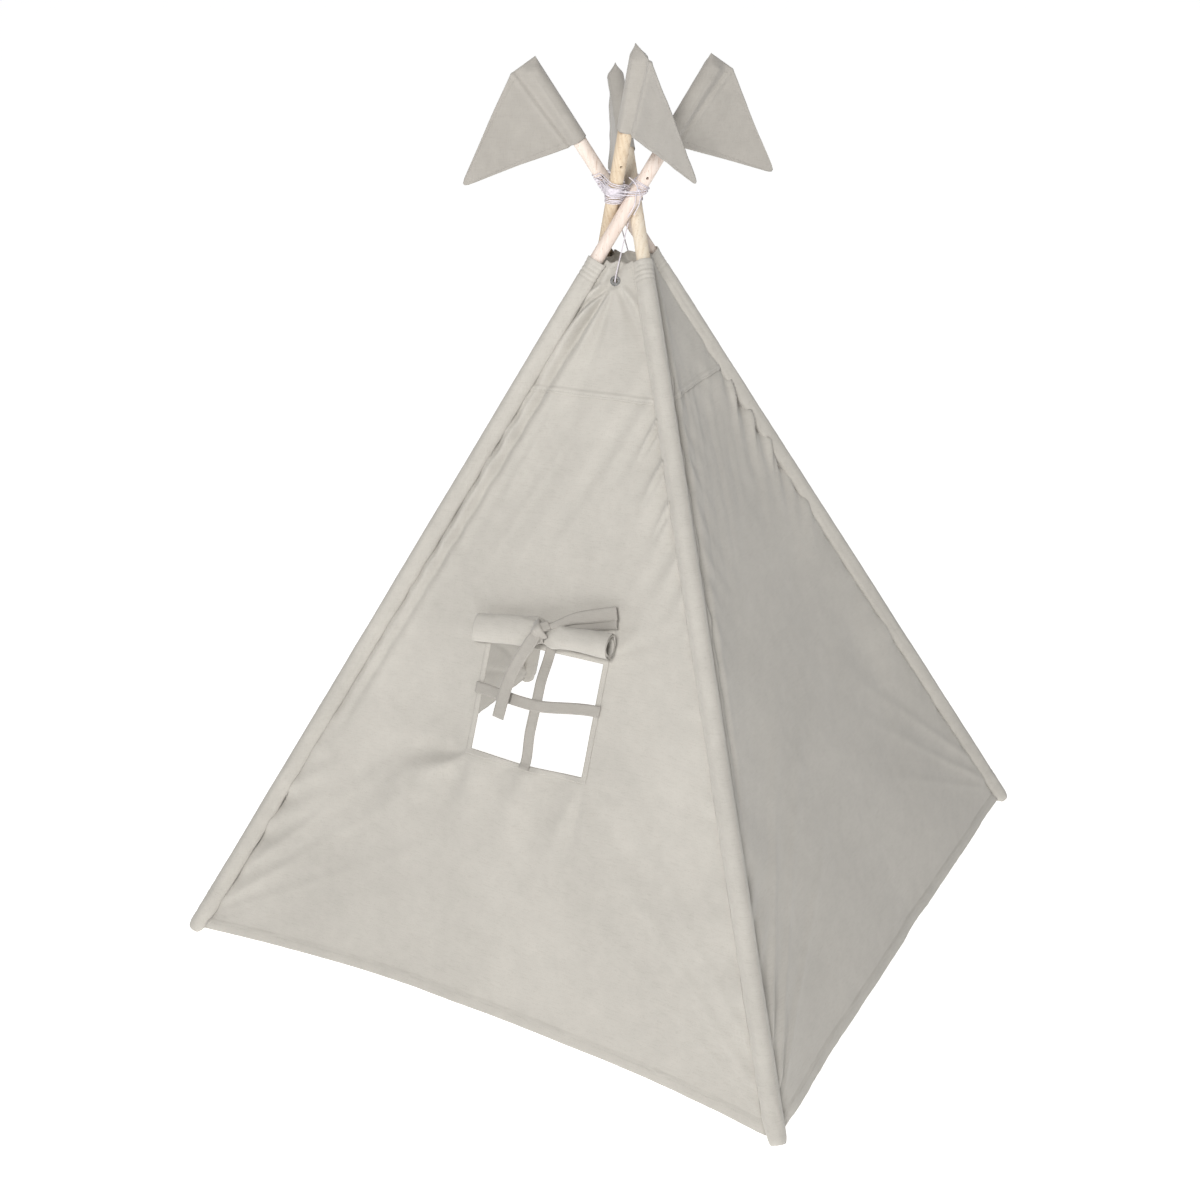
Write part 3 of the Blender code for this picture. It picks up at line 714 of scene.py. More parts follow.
def cut_rectangle(mesh, middle, across, up, half_wide, half_tall):
    """Cuts a straight-edged window out of an open sheet."""
    reach = max(half_wide, half_tall) * 1.6
    sides = ((across, half_wide), (-across, half_wide), (up, half_tall), (-up, half_tall))
    with editing(mesh) as bm:
        for way, half in sides:
            near = [face for face in bm.faces if (face.calc_center_median() - middle).length < reach]
            edges = {edge for face in near for edge in face.edges}
            points = {point for face in near for point in face.verts}
            geometry = [*near, *edges, *points]
            edge = middle + way * half
            bmesh.ops.bisect_plane(bm, geom=geometry, dist=1e-6, plane_co=edge, plane_no=way)
        inside = []
        for face in bm.faces:
            away = face.calc_center_median() - middle
            if abs(away.dot(across)) < half_wide and abs(away.dot(up)) < half_tall:
                inside.append(face)
        bmesh.ops.delete(bm, geom=inside, context="FACES")


def cover_cloth(kind, quarter, mesh, low, high, hole=0.0):
    """Puts one face's panel or yoke, which is cut to fit between two heights and two sleeves."""
    name = FACE_NAMES[quarter]
    bottom = chord(low).length - 2 * SEAM_IN / EDGE_SINE
    top = chord(high).length - 2 * SEAM_IN / EDGE_SINE
    tall = (high - low) * SLOPE
    sheet = {
        "flat": (bottom, tall),
        "held": "stretched",
        "area": (bottom + top) / 2 * tall - hole,
        "rests_on": [f"sleeve_{POLE_NAMES[side % 4]}_cloth" for side in (quarter, quarter + 1)],
        "thickness": CLOTH,
    }
    stands_for = [f"{kind}_{name}"]
    body = f"face_{name}"
    put(f"{kind}_{name}_cloth", mesh, COVER, body, quarter, stands_for, sheet, fold=True)


def lower_panel(quarter, stitches):
    """A large lower panel, with a turned-up hem."""
    name = FACE_NAMES[quarter]
    rows = spread((0.0, 0.030, 13), (0.030, 0.985, 175), (0.985, 1.0, 6))

    def place(share, up):
        low = hem_height(quarter, share)
        height = low + (SEAM_HEIGHT + 0.004 - low) * up
        rise = (height - low) * SLOPE
        hem = smooth(HEM_WIDTH + 0.0030, HEM_WIDTH, rise)
        groove = bump(rise - HEM_WIDTH + 0.003, 0.002)
        ripple = hem * 0.0012 * seeded(share * 60, rise * 30, quarter + 51)
        return cloth_point(quarter, share, height, 0.0016 * hem - 0.0007 * groove + ripple)

    mesh = grid(f"panel_{name}_cloth", 150, rows, place)
    hole = 0.0
    if quarter == 0:
        half_wide, half_tall = WINDOW_WIDTH / 2, WINDOW_TALL / 2
        cut_rectangle(mesh, WINDOW_MIDDLE, WINDOW_ACROSS, WINDOW_UP, half_wide, half_tall)
        for point in mesh.vertices:
            point.co = sagged(point.co)
        hole = WINDOW_WIDTH * WINDOW_TALL
    cover_cloth("panel", quarter, mesh, HEM_END, SEAM_HEIGHT, hole)
    shares = [step / 260 for step in range(261)]
    hem = [(share, hem_height(quarter, share) + (HEM_WIDTH - 0.003) / SLOPE) for share in shares]
    stitches.line(*cloth_line(quarter, hem, 0.0014))


def edge_stitches(quarter, stitches, low, high):
    """Rows of stitches beside both sleeves."""
    inset = 0.004
    for mirrored in (False, True):
        pairs = []
        for step in range(321):
            height = low + (high - low) * step / 320
            share = inset / EDGE_SINE / (chord(height).length * (1 - 2 * edge_share(height)))
            pairs.append((1 - share if mirrored else share, height))
        stitches.line(*cloth_line(quarter, pairs, 0.0004))


def make_eyelet_hole(mesh):
    """Flattens the cloth round the eyelet and opens it there."""
    eyelet = on_face(0.5, EYELET_HEIGHT)
    normal = face_normal()
    with editing(mesh) as bm:
        for point in bm.verts:
            away = point.co - eyelet
            flat = away - normal * away.dot(normal)
            if flat.length < EYELET_FLAT:
                share = smooth(EYELET_FLAT - 0.006, EYELET_FLAT, flat.length)
                point.co -= normal * away.dot(normal) * (1 - share)
        gone = [f for f in bm.faces if (f.calc_center_median() - eyelet).length < EYELET_HOLE]
        bmesh.ops.delete(bm, geom=gone, context="FACES")


def yoke(quarter, stitches):
    """The top of a face. It laps over the lower panel, and its top is hemmed."""
    name = FACE_NAMES[quarter]
    lap = 0.008
    hung = quarter in (0, 2)

    def top_height(share):
        waves = math.sin(2 * math.pi * share) if hung else math.sin(math.pi * share)
        return COVER_TOP - 0.004 * waves**2

    def place(share, up):
        low = SEAM_HEIGHT - lap
        top = top_height(share)
        height = low + (top - low) * up
        lapped = smooth(SEAM_HEIGHT + 0.004, SEAM_HEIGHT - 0.001, height)
        hemmed = smooth(top - 0.012, top - 0.009, height)
        groove = bump(height - low - 0.0035, 0.0015)
        extra = 0.0019 * lapped + 0.0012 * hemmed + 0.0002 - 0.0006 * groove
        return cloth_point(quarter, share, height, extra)

    mesh = grid(f"yoke_{name}_cloth", 70, spread((0.0, 0.08, 12), (0.08, 1.0, 88)), place)
    if hung:
        make_eyelet_hole(mesh)
    cover_cloth("yoke", quarter, mesh, SEAM_HEIGHT - lap, COVER_TOP)
    shares = [step / 60 for step in range(61)]
    stitches.line(*cloth_line(quarter, [(s, SEAM_HEIGHT - lap + 0.0035) for s in shares], 0.0018))
    stitches.line(*cloth_line(quarter, [(s, top_height(s) - 0.0095) for s in shares], 0.0016))


# Sleeves


def sleeve_arms():
    """Unit vectors square to pole a, into its two faces, and outwards."""
    chords = (chord(0.5).normalized(), turned(-1) @ -chord(0.5).normalized())
    arms = [(way - LEFT_WAY * way.dot(LEFT_WAY)).normalized() for way in chords]
    outward = -(arms[0] + arms[1])
    outward = (outward - LEFT_WAY * outward.dot(LEFT_WAY)).normalized()
    return arms, outward


def sleeve(quarter):
    """The cloth tube round one pole, with its closed foot pocket."""
    letter = POLE_NAMES[quarter]
    arms, outward = sleeve_arms()
    beside = LEFT_WAY.cross(outward)
    arm_angles = [math.atan2(arm.dot(beside), arm.dot(outward)) for arm in arms]
    top = COVER_TOP / POLE_WAY.z
    foot = 0.0045
    around = 40
    rows = spread((0.0, 0.055, 16), (0.055, 0.075, 14), (0.075, 0.972, 240), (0.972, 1.0, 24))
    seed = 21 + quarter

    def radius(angle, distance):
        reach = SLEEVE_RADIUS
        for side, arm in enumerate(arm_angles):
            apart = (angle - arm + math.pi) % (2 * math.pi) - math.pi
            reach += SLEEVE_BULGE * bump(apart, 0.50) * smooth(0.0, 0.05, distance)
            gather = seeded(distance * 42, side * 3.1, quarter + 1)
            reach += 0.0011 * gather * bump(apart, 0.6)
        reach += 0.0008 * seeded(distance * 6, 2 * math.cos(angle), seed)
        reach += 0.0005 * seeded(distance * 55 + 6 * math.sin(angle), 3 * math.cos(angle), seed)
        creases = seeded(distance * 95, 2 * math.sin(angle), seed + 1)
        reach += 0.0011 * creases * bump(distance - 0.05, 0.07)
        band = smooth(top - 0.013, top - 0.010, distance)
        for groove in (0.0095, 0.0175, 0.0255, 0.0335):
            reach -= 0.0011 * bump(distance - top + groove, 0.0016)
        for groove in (0.088, 0.092):
            reach -= 0.0008 * bump(distance - groove, 0.0015)
        return max(reach, SLEEVE_RADIUS - 0.0012) + 0.0006 * band

    def place(turn, up):
        distance = foot + (top - foot) * up
        angle = 2 * math.pi * turn
        reach = radius(angle, distance)
        close = smooth(-0.022, 0.018, distance)
        thick = 0.30 + 0.70 * close
        wide = 0.50 + 0.50 * close
        along = left_axis(0) + LEFT_WAY * distance
        arm = outward * math.cos(angle) * thick + beside * math.sin(angle) * wide
        point = along + arm * reach
        point.z = max(point.z, 0.0006)
        return point

    mesh = grid(f"sleeve_{letter}_cloth", around, rows, place, ring=True)
    with editing(mesh) as bm:
        bm.verts.ensure_lookup_table()
        bm.faces.new([bm.verts[index] for index in range(around - 1, -1, -1)])
    mesh.shade_smooth()
    sheet = {
        "flat": (2 * math.pi * SLEEVE_RADIUS * 1.07, top),
        "held": "stretched",
        "rests_on": [f"pole_{letter}"],
        "thickness": CLOTH,
    }
    body = f"pole_{letter}"
    put(f"sleeve_{letter}_cloth", mesh, COVER, body, quarter, [f"sleeve_{letter}"], sheet)
    stitches = Stitches()
    for height in (0.088, 0.092):
        ring(stitches, place, height / top)
    for below in (0.0095, 0.0175, 0.0255, 0.0335):
        ring(stitches, place, 1 - below / top)
    stitches.put(f"sleeve_{letter}_stitches", body, "cotton", quarter)


def ring(stitches, place, up):
    """Stitches round a sleeve."""
    path, normals = [], []
    for step in range(81):
        point = place(step / 80, up)
        arm = point - (left_axis(0) + LEFT_WAY * (point - left_axis(0)).dot(LEFT_WAY))
        arm.normalize()
        path.append(point + arm * 0.0002)
        normals.append(arm)
    stitches.line(path, normals)


# Window


def strip(name, path, outs, width, thick, columns=8):
    """A flat strip with rounded edges along a path."""
    points = []
    frames = frames_along(path, outs)
    ring_size = 2 * (columns + 1)
    for number, (point, _, side, out) in enumerate(frames):
        half = width(number / (len(frames) - 1)) / 2 if callable(width) else width / 2
        for way in (1, -1):
            for step in range(columns + 1):
                x = (-1 + 2 * step / columns) * way
                rounding = math.sqrt(max(0.0, 1 - abs(x) ** 8))
                off = way * thick / 2 * (0.25 + 0.75 * rounding)
                points.append(point + side * x * half + out * off)
    faces = grid_faces(ring_size, len(frames) - 1, 0, ring=True)
    last = (len(frames) - 1) * ring_size
    for start, flip in ((0, True), (last, False)):
        for step in range(columns):
            a, b = start + step, start + step + 1
            c = start + ring_size - 1 - step
            d = start + ring_size - 2 - step
            faces.append((b, a, c, d) if flip else (a, b, d, c))
    return mesh_of(name, points, faces)


def window_bars(stitches):
    """Two strips of folded tape over the window, with stitched edges and boxed ends."""
    behind = 0.0030
    for name, half, layer in (("vertical", WINDOW_TALL / 2, 0), ("horizontal", WINDOW_WIDTH / 2, 1)):
        half += BAR_OVERLAP
        path = []
        for step in range(61):
            way = (2 * step / 60 - 1) * half
            sag = seeded(way * 9, layer, 31) * 0.0016
            off = behind + RIBBON_THICK / 2 + layer * (RIBBON_THICK + 0.0004)
            off -= 0.0009 * bump(way, half * 0.8) * layer
            if layer:
                rise = 0.008 * smooth(0.0, half, way) - 0.0065 * bump(way + 0.01, 0.07)
                place = (way, BAR_RAISE + sag + rise)
            else:
                place = (sag + 0.0045 + 0.0035 * way / half, way)
            sewn = window_surface(by_window(*place), 0.0024 + RIBBON_THICK / 2)
            share = smooth(half - BAR_OVERLAP - 0.060, half - BAR_OVERLAP, abs(way))
            path.append(by_window(*place, off).lerp(sewn, share))
        mesh = strip(f"bar_{name}_tape", path, WINDOW_OUT, RIBBON, RIBBON_THICK)
        put_tape(f"bar_{name}_tape", mesh, "face_window", [f"window_bar_{name}"], True)
        frames = frames_along(path, WINDOW_OUT)
        for edge in (-1, 1):
            lift = RIBBON_THICK / 2 + 0.0001
            beside = edge * (RIBBON / 2 - STITCH_INSET)
            line = [point + side * beside + out * lift for point, _, side, out in frames]
            stitches.line(line, [WINDOW_OUT] * len(line))
        for end in (0, -1):
            for inset in (0.003, 0.010):
                point, ahead, side, out = frames[end]
                start = point + ahead * (inset if end == 0 else -inset) + out * (RIBBON_THICK / 2)
                line = [start + side * RIBBON * 0.4 * (2 * t / 6 - 1) for t in range(7)]
                stitches.line(line, [WINDOW_OUT] * 7)


def put_tape(name, mesh, body, stands_for, fold=False, quarter=0):
    """A piece of folded tape, which is already a closed solid."""
    obj = put(name, mesh, TAPE, body, quarter, stands_for, None, fold)


def sagged(point):
    """The window's sill sinks a little in its middle."""
    across, up = in_window(point)
    drop = 0.0055 * bump(across, 0.075) * bump(up + WINDOW_TALL / 2, 0.030)
    return point - WINDOW_UP * drop


def window_border(stitches):
    """The turned hem round the window, with a row of stitches."""
    profile = (
        (-0.0004, -0.0022), (-0.0014, -0.0006), (-0.0010, 0.0010), (0.0010, 0.0017), (0.0060, 0.0015),
        (0.0080, 0.0017), (0.0092, 0.0004)
    )
    points = []
    steps = 44
    for side in range(4):
        for step in range(steps):
            way = 2 * step / steps - 1
            for inset, off in profile:
                half_wide = WINDOW_WIDTH / 2 + inset
                half_tall = WINDOW_TALL / 2 + inset
                across, up = (
                    (way * half_wide, -half_tall),
                    (half_wide, way * half_tall),
                    (-way * half_wide, half_tall),
                    (-half_wide, -way * half_tall),
                )[side]
                points.append(sagged(window_surface(by_window(across, up), off)))
    faces = []
    width = len(profile)
    for row in range(4 * steps):
        after = (row + 1) % (4 * steps)
        for column in range(width - 1):
            low, high = row * width + column, after * width + column
            faces.append((low, high, high + 1, low + 1))
    mesh = mesh_of("window_hem_cloth", points, faces)
    mesh.flip_normals()
    round_it = 2 * (WINDOW_WIDTH + WINDOW_TALL)
    sheet = {
        "flat": (0.0165, round_it),
        "held": "folded",
        "rests_on": ["panel_window_cloth"],
        "thickness": 0.0005,
    }
    put("window_hem_cloth", mesh, COVER, "face_window", 0, (), sheet, fold=True)
    half_wide = WINDOW_WIDTH / 2 + 0.0064
    half_tall = WINDOW_TALL / 2 + 0.0064
    signs = ((-1, -1), (1, -1), (1, 1), (-1, 1), (-1, -1))
    corners = [by_window(half_wide * across, half_tall * up) for across, up in signs]
    for start, end in zip(corners, corners[1:]):
        flats = [start.lerp(end, step / 40) for step in range(41)]
        path = [sagged(window_surface(flat, 0.0016)) for flat in flats]
        stitches.line(path, [WINDOW_OUT] * len(path))


def window_surface(flat, extra):
    """The point of the cloth that lies over a point of the flat face."""
    height = flat.z
    across = (flat - left_axis(height)).dot(chord(height)) / chord(height).length_squared
    return on_face(across, height, relief(0, across, height, flat) + extra)


def roll_slant(x):
    """The roll's left half climbs to its tie, and its right half is nearly level."""
    over = smooth(-0.020, 0.020, x)
    return (0.009 + 0.131 * x) * (1 - over) + (0.0065 + 0.028 * x) * over


def flap_roll():
    """The rolled-up flap: a loose spiral of cloth, pinched where its tie goes round."""
    turns, inner = 3.2, 0.58
    seam_angle = math.radians(115)

    def place(share, up):
        x = (up - 0.5) * ROLL_LENGTH
        from_tie = x - TIE_AT
        pinch = bump(from_tie, 0.017)
        right_side = smooth(0.0, 0.05, from_tie)
        size = inner + (1 - inner) * share
        cone = 1 - 0.26 * right_side * (1 - min(1.0, max(0.0, from_tie) / 0.11))
        reach = ROLL_RADIUS * size * (1 - 0.30 * pinch) * cone
        angle = seam_angle + 2 * math.pi * turns * (share - 1)
        near = bump(from_tie, 0.060)
        crease = math.sin(angle * 5 + from_tie * 70) * bump(from_tie, 0.045)
        crease += 0.8 * math.sin(angle * 3 - from_tie * 30) * bump(from_tie, 0.085)
        reach *= 1 + 0.085 * crease * (1 - 0.6 * pinch) + 0.035 * seeded(x * 22, angle, 41)
        flatten = 0.60 + 0.32 * right_side + 0.04 * seeded(x * 7, 0.4, 43)
        tall = 1.20 - 0.19 * right_side
        local_up = math.sin(angle) * reach * tall
        local_out = math.cos(angle) * reach * flatten
        centre_out = CLOTH / 2 + ROLL_STANDOFF + ROLL_RADIUS * flatten * 0.97
        wander = 0.0024 * seeded(x * 9 + share, share * 2, 47) * (1 - near)
        edge_shift = 0.0035 * seeded(share * 7, 1.3, 53) * (1 if x > 0 else -0.4)
        along = x + edge_shift * smooth(0.8, 1.0, abs(x) / (ROLL_LENGTH / 2))
        height = ROLL_UP + roll_slant(x) + local_up + wander
        return by_window(along, height, centre_out + local_out)

    mesh = grid("flap_roll_cloth", 96, 120, place)
    unrolled = 2 * math.pi * ROLL_RADIUS * turns * (1 + inner) / 2
    sheet = {
        "flat": (ROLL_LENGTH, unrolled),
        "held": "folded",
        "rests_on": ["panel_window_cloth"],
        "thickness": 0.0010,
    }
    put("flap_roll_cloth", mesh, COVER, "window_flap", 0, ["window_flap_roll"], sheet)
    stitches = Stitches()
    for edge in (0.006, 0.011):
        up = 1 - edge / ROLL_LENGTH
        path, normals = [], []
        for step in range(60):
            share = 1 - 0.30 * step / 60
            angle = seam_angle + 2 * math.pi * turns * (share - 1)
            out = WINDOW_UP * math.sin(angle) + WINDOW_OUT * math.cos(angle)
            path.append(place(share, up) + out * 0.0003)
            normals.append(out)
        stitches.line(path, normals)
    stitches.put("flap_roll_stitches", "window_flap", "cotton")


def window_tie():
    """The tape tied round the roll: the band, the knot, a hanging tail and a flattened loop."""
    centre_up = ROLL_UP + roll_slant(TIE_AT)
    centre_out = CLOTH / 2 + ROLL_STANDOFF + ROLL_RADIUS * 0.80
    reach = ROLL_RADIUS * 0.74
    tie_band(centre_up, centre_out, reach)
    knot = by_window(TIE_AT, centre_up + 0.006, centre_out + reach * 0.88 + 0.002)
    tie_knot(knot)
    tie_ends(knot)


def tie_band(centre_up, centre_out, reach):
    path, outs = [], []
    for step in range(49):
        angle = 2 * math.pi * step / 48
        up = centre_up + math.sin(angle) * reach
        out = centre_out + math.cos(angle) * reach * 0.88
        path.append(by_window(TIE_AT + 0.004 * math.sin(angle), up, out))
        outs.append(WINDOW_UP * math.sin(angle) + WINDOW_OUT * math.cos(angle))
    band = strip("tie_band_tape", path, outs, 0.017, 0.0032)
    put_tape("tie_band_tape", band, "window_flap", ["window_tie_band"])


def tie_knot(knot):
    """Three short straps over each other. Their points are across, up and out from the knot."""
    straps = (
        ((-0.013, -0.013, -0.004), (-0.001, 0.000, 0.0085), (0.013, 0.011, -0.003), 0.0165, 0.0055),
        ((-0.012, 0.012, -0.004), (0.000, 0.002, 0.0125), (0.008, -0.013, -0.004), 0.0150, 0.0050),
        ((-0.014, 0.002, -0.003), (-0.006, -0.004, 0.0100), (0.003, -0.015, -0.002), 0.0100, 0.0045),
    )
    for number, (*points, width, thick) in enumerate(straps):
        name = f"tie_knot_{number}_tape"
        route = []
        for across, up, off in points:
            route.append(knot + WINDOW_ACROSS * across + WINDOW_UP * up + WINDOW_OUT * off)
        mesh = strip(name, catmull(route, 12), WINDOW_OUT, width, thick)
        put_tape(name, mesh, "window_flap", [])


def tie_ends(knot):
    """The bow's tail, and its flattened loop: two tapes that bend from the knot to the cloth."""
    bending = ("window_flap", "face_window", by_window(0.020, 0.1), by_window(0.085, 0.1))
    ends = (
        (
            "tail",
            tail_width,
            0.0026,
            knot - WINDOW_UP * 0.002 + WINDOW_OUT * 0.002,
            ((-0.0070, 0.1130, 0.041), (-0.0277, 0.0755, 0.033)),
            ((-0.0460, 0.0300, 0.024), (-0.0553, -0.0314, 0.018)),
        ),
        (
            "loop",
            loop_width,
            0.0030,
            knot + WINDOW_ACROSS * 0.004 + WINDOW_UP * 0.003,
            ((0.024, 0.1455, 0.032), (0.0531, 0.1635, 0.018)),
            ((0.0900, 0.1760, 0.0105), (0.1230, 0.1870, 0.0070)),
        ),
        (
            "loop_under",
            loop_width,
            0.0026,
            knot + WINDOW_ACROSS * 0.006 + WINDOW_UP * 0.001 - WINDOW_OUT * 0.003,
            ((0.026, 0.1440, 0.025), (0.0545, 0.1550, 0.0115)),
            ((0.0900, 0.1640, 0.0065), (0.1250, 0.1720, 0.0042)),
        ),
    )
    for end, width, thick, start, near, far in ends:
        route = catmull([start, *(by_window(*place) for place in near + far)], 14)
        length = sum((point - before).length for before, point in zip(route, route[1:]))
        is_tail = end == "tail"
        body = "window_flap" if is_tail else bending
        stands_for = ["window_tie_bow"] if is_tail else []
        mesh = strip(f"tie_{end}_tape", route, WINDOW_OUT, width, thick)
        put_tape(f"tie_{end}_tape", mesh, body, stands_for)
        stitches = Stitches()
        frames = frames_along(route, WINDOW_OUT)
        for edge in (-1, 1):
            line = []
            for number, (point, _, side, out) in enumerate(frames):
                half = width(number / (len(frames) - 1)) / 2 - STITCH_INSET
                line.append(point + side * edge * half + out * (thick / 2 + 0.0001))
            stitches.line(line[8:], [WINDOW_OUT] * len(line[8:]))
        stitches.put(f"tie_{end}_stitches", body, "cotton_tape")


def tail_width(share):
    return RIBBON * (0.62 + 0.53 * smooth(0.0, 0.25, share))


def loop_width(share):
    return RIBBON * (0.42 + 0.78 * smooth(0.05, 0.75, share))


# Door


CURTAIN_IN = 0.0153  # from a pole's axis to the curtain's edge
CURTAIN_TIE_HEIGHT = 0.50
CURTAIN_TIE_WIDTH = 0.058
CURTAIN_HEM_WIDTH = 0.150
CURTAIN_HEM = 0.205
CURTAIN_THICK_TOP = 0.005
CURTAIN_THICK_TIE = 0.036
CURTAIN_THICK_HEM = 0.040
CURTAIN_TIE_GAP = 0.0078
PLEATS = 9


def curtain_sizes(height):
    """(width from the pole's axis, gap beside the sleeve, thickness) of a tied-back curtain."""
    tied = CURTAIN_IN / EDGE_SINE + CURTAIN_TIE_GAP + CURTAIN_TIE_WIDTH
    beside = CURTAIN_TIE_GAP * bump(height - CURTAIN_TIE_HEIGHT, 0.08)
    if height > CURTAIN_TIE_HEIGHT:
        part = (height - CURTAIN_TIE_HEIGHT) / (SEAM_HEIGHT - CURTAIN_TIE_HEIGHT)
        top = chord(SEAM_HEIGHT).length / 2 - 0.0005
        thick = CURTAIN_THICK_TIE + (CURTAIN_THICK_TOP - CURTAIN_THICK_TIE) * part**0.6
        return tied + (top - tied) * part**1.5, beside, thick
    part = (CURTAIN_TIE_HEIGHT - height) / (CURTAIN_TIE_HEIGHT - CURTAIN_HEM)
    thick = CURTAIN_THICK_TIE + (CURTAIN_THICK_HEM - CURTAIN_THICK_TIE) * part**0.6
    return tied + (CURTAIN_HEM_WIDTH - CURTAIN_TIE_WIDTH) * part**1.4, beside, thick


def curtain(mirrored):
    """A door curtain, pleated into its tie and falling open below it."""
    seed = 61 + mirrored

    def place(share, up):
        height = CURTAIN_HEM + (SEAM_HEIGHT + 0.003 - CURTAIN_HEM) * up
        width, beside, thick = curtain_sizes(min(height, SEAM_HEIGHT))
        span = chord(height).length
        near = (CURTAIN_IN / EDGE_SINE + beside) / span
        across = near + (width / span - near) * share
        phase = 2 * math.pi * PLEATS * share + 1.2 * seeded(share * 4, height * 3, seed)
        deep = max(thick - 0.004, 0.001) * (0.85 + 0.25 * seeded(share * 6, height * 2, seed + 3))
        fade = math.sqrt(max(0.02, 1 - 0.9 * (2 * share - 1) ** 2))
        off = deep / 2 * fade * math.sin(phase)
        slip = -0.25 * (thick / 0.03) * 0.010 * math.sin(2 * phase) * fade / span
        where = across + slip * (1 if 0.04 < share < 0.96 else 0)
        return on_face(1 - where if mirrored else where, height, off)

    side = "left" if mirrored else "right"
    mesh = grid(f"curtain_{side}_cloth", 132, 150, place)
    if mirrored:
        mesh.flip_normals()
    bottom = chord(CURTAIN_HEM).length / 2 - SEAM_IN
    top = chord(SEAM_HEIGHT).length / 2 - SEAM_IN
    tall = (SEAM_HEIGHT - CURTAIN_HEM) * SLOPE
    sheet = {
        "flat": (bottom, tall),
        "held": "gathered",
        "area": (bottom + top) / 2 * tall,
        "rests_on": [f"curtain_tie_{side}_tape"],
        "thickness": 0.0009,
    }
    put(
        f"curtain_{side}_cloth", mesh, COVER, "face_door", 2, [f"door_curtain_{side}"], sheet,
        fold=True
    )
    curtain_tie(mirrored, side)


def curtain_tie(mirrored, side):
    """The tape loop that holds a curtain."""
    width, beside, thick = curtain_sizes(CURTAIN_TIE_HEIGHT)
    near = CURTAIN_IN / EDGE_SINE + beside
    span = chord(CURTAIN_TIE_HEIGHT).length
    ends = [near / span, width / span]
    if mirrored:
        ends = [1 - ends[0], 1 - ends[1]]
    first, last = (on_face(end, CURTAIN_TIE_HEIGHT) for end in ends)
    out = face_normal(ends[1], CURTAIN_TIE_HEIGHT)
    pole = RIGHT_WAY if mirrored else LEFT_WAY
    rise = (pole - out * pole.dot(out)).normalized()
    across = out.cross(rise)
    half_across = abs((last - first).dot(across)) / 2 + 0.0040
    half_deep = thick / 2 + 0.0040
    middle = (first + last) / 2
    path, outs = [], []
    for step in range(49):
        angle = 2 * math.pi * step / 48
        arm = across * math.cos(angle) * half_across + out * math.sin(angle) * half_deep
        path.append(middle + arm + rise * 0.0012 * math.sin(3 * angle))
        outs.append((across * math.cos(angle) + out * math.sin(angle)).normalized())
    band = strip(f"curtain_tie_{side}_tape", path, outs, 0.019, 0.0019)
    put_tape(f"curtain_tie_{side}_tape", band, "face_door", [f"curtain_tie_{side}"], True, 2)


# Cords and lashing


ROPE_RADIUS = 0.00095
KNOT_TURN = math.radians(-62)
KNOT_ALONG = 0.036


def cover_cord(quarter):
    """The cord from an eyelet up to the lashing, tied through the eyelet with a small knot."""
    name = FACE_NAMES[quarter]
    route = [
        on_face(0.5, 1.186, -0.003),
        on_face(0.5, 1.1885, 0.002),
        on_face(0.5, 1.193, 0.0048),
        on_face(0.5, 1.205, 0.0058),
        on_face(0.5, 1.237, 0.0048),
        on_face(0.5, CROSSING_HEIGHT - 0.022, 0.0008),
    ]
    tubes = Tubes()
    path = catmull(route, 14)
    tubes.strand(path, 0.00118, 9)
    obj = put(
        f"cord_{name}_rope", tubes.mesh(f"cord_{name}_rope"), ROPE, f"face_{name}", quarter,
        [f"cover_cord_{name}"]
    )
    path = [turned(quarter) @ point for point in path]
    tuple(path[0])
    sum((point - before).length for before, point in zip(path, path[1:]))


def hull(height, margin, quarters):
    """The outline, at one height, of a cord pulled tight round some of the poles."""
    points = []
    for quarter in quarters:
        middle = turned(quarter) @ left_axis(height)
        for step in range(32):
            angle = 2 * math.pi * step / 32
            reach = POLE_RADIUS * 1.06 + margin
            points.append((middle.x + math.cos(angle) * reach, middle.y + math.sin(angle) * reach))
    points = sorted(points)

    def half(run):
        kept = []
        for point in run:
            while len(kept) > 1:
                (ax, ay), (bx, by) = kept[-2], kept[-1]
                if (bx - ax) * (point[1] - ay) - (by - ay) * (point[0] - ax) > 0:
                    break
                kept.pop()
            kept.append(point)
        return kept[:-1]

    return half(points) + half(points[::-1])


def round_outline(outline, count):
    """Points at equal distances round a closed outline."""
    ends = outline[1:] + outline[:1]
    lengths = [math.dist(start, end) for start, end in zip(outline, ends)]
    total = sum(lengths)
    found = []
    edge, passed = 0, 0.0
    for step in range(count):
        goal = total * step / count
        while passed + lengths[edge] < goal:
            passed += lengths[edge]
            edge += 1
        share = (goal - passed) / lengths[edge]
        start, end = outline[edge], ends[edge]
        found.append((start[0] + (end[0] - start[0]) * share, start[1] + (end[1] - start[1]) * share))
    return found


def pole_line(quarter):
    """A pole's axis: a point at the crossing's height, and the way up."""
    return turned(quarter) @ left_axis(CROSSING_HEIGHT), turned(quarter) @ POLE_WAY


def clear_of_poles(point, margin):
    """Moves a point out of any pole that it lies in."""
    for _ in range(3):
        for quarter in range(4):
            start, way = pole_line(quarter)
            away = point - start
            away -= way * away.dot(way)
            needed = POLE_RADIUS * 1.03 + margin
            if 1e-6 < away.length < needed:
                point = point + away.normalized() * (needed - away.length)
    return point


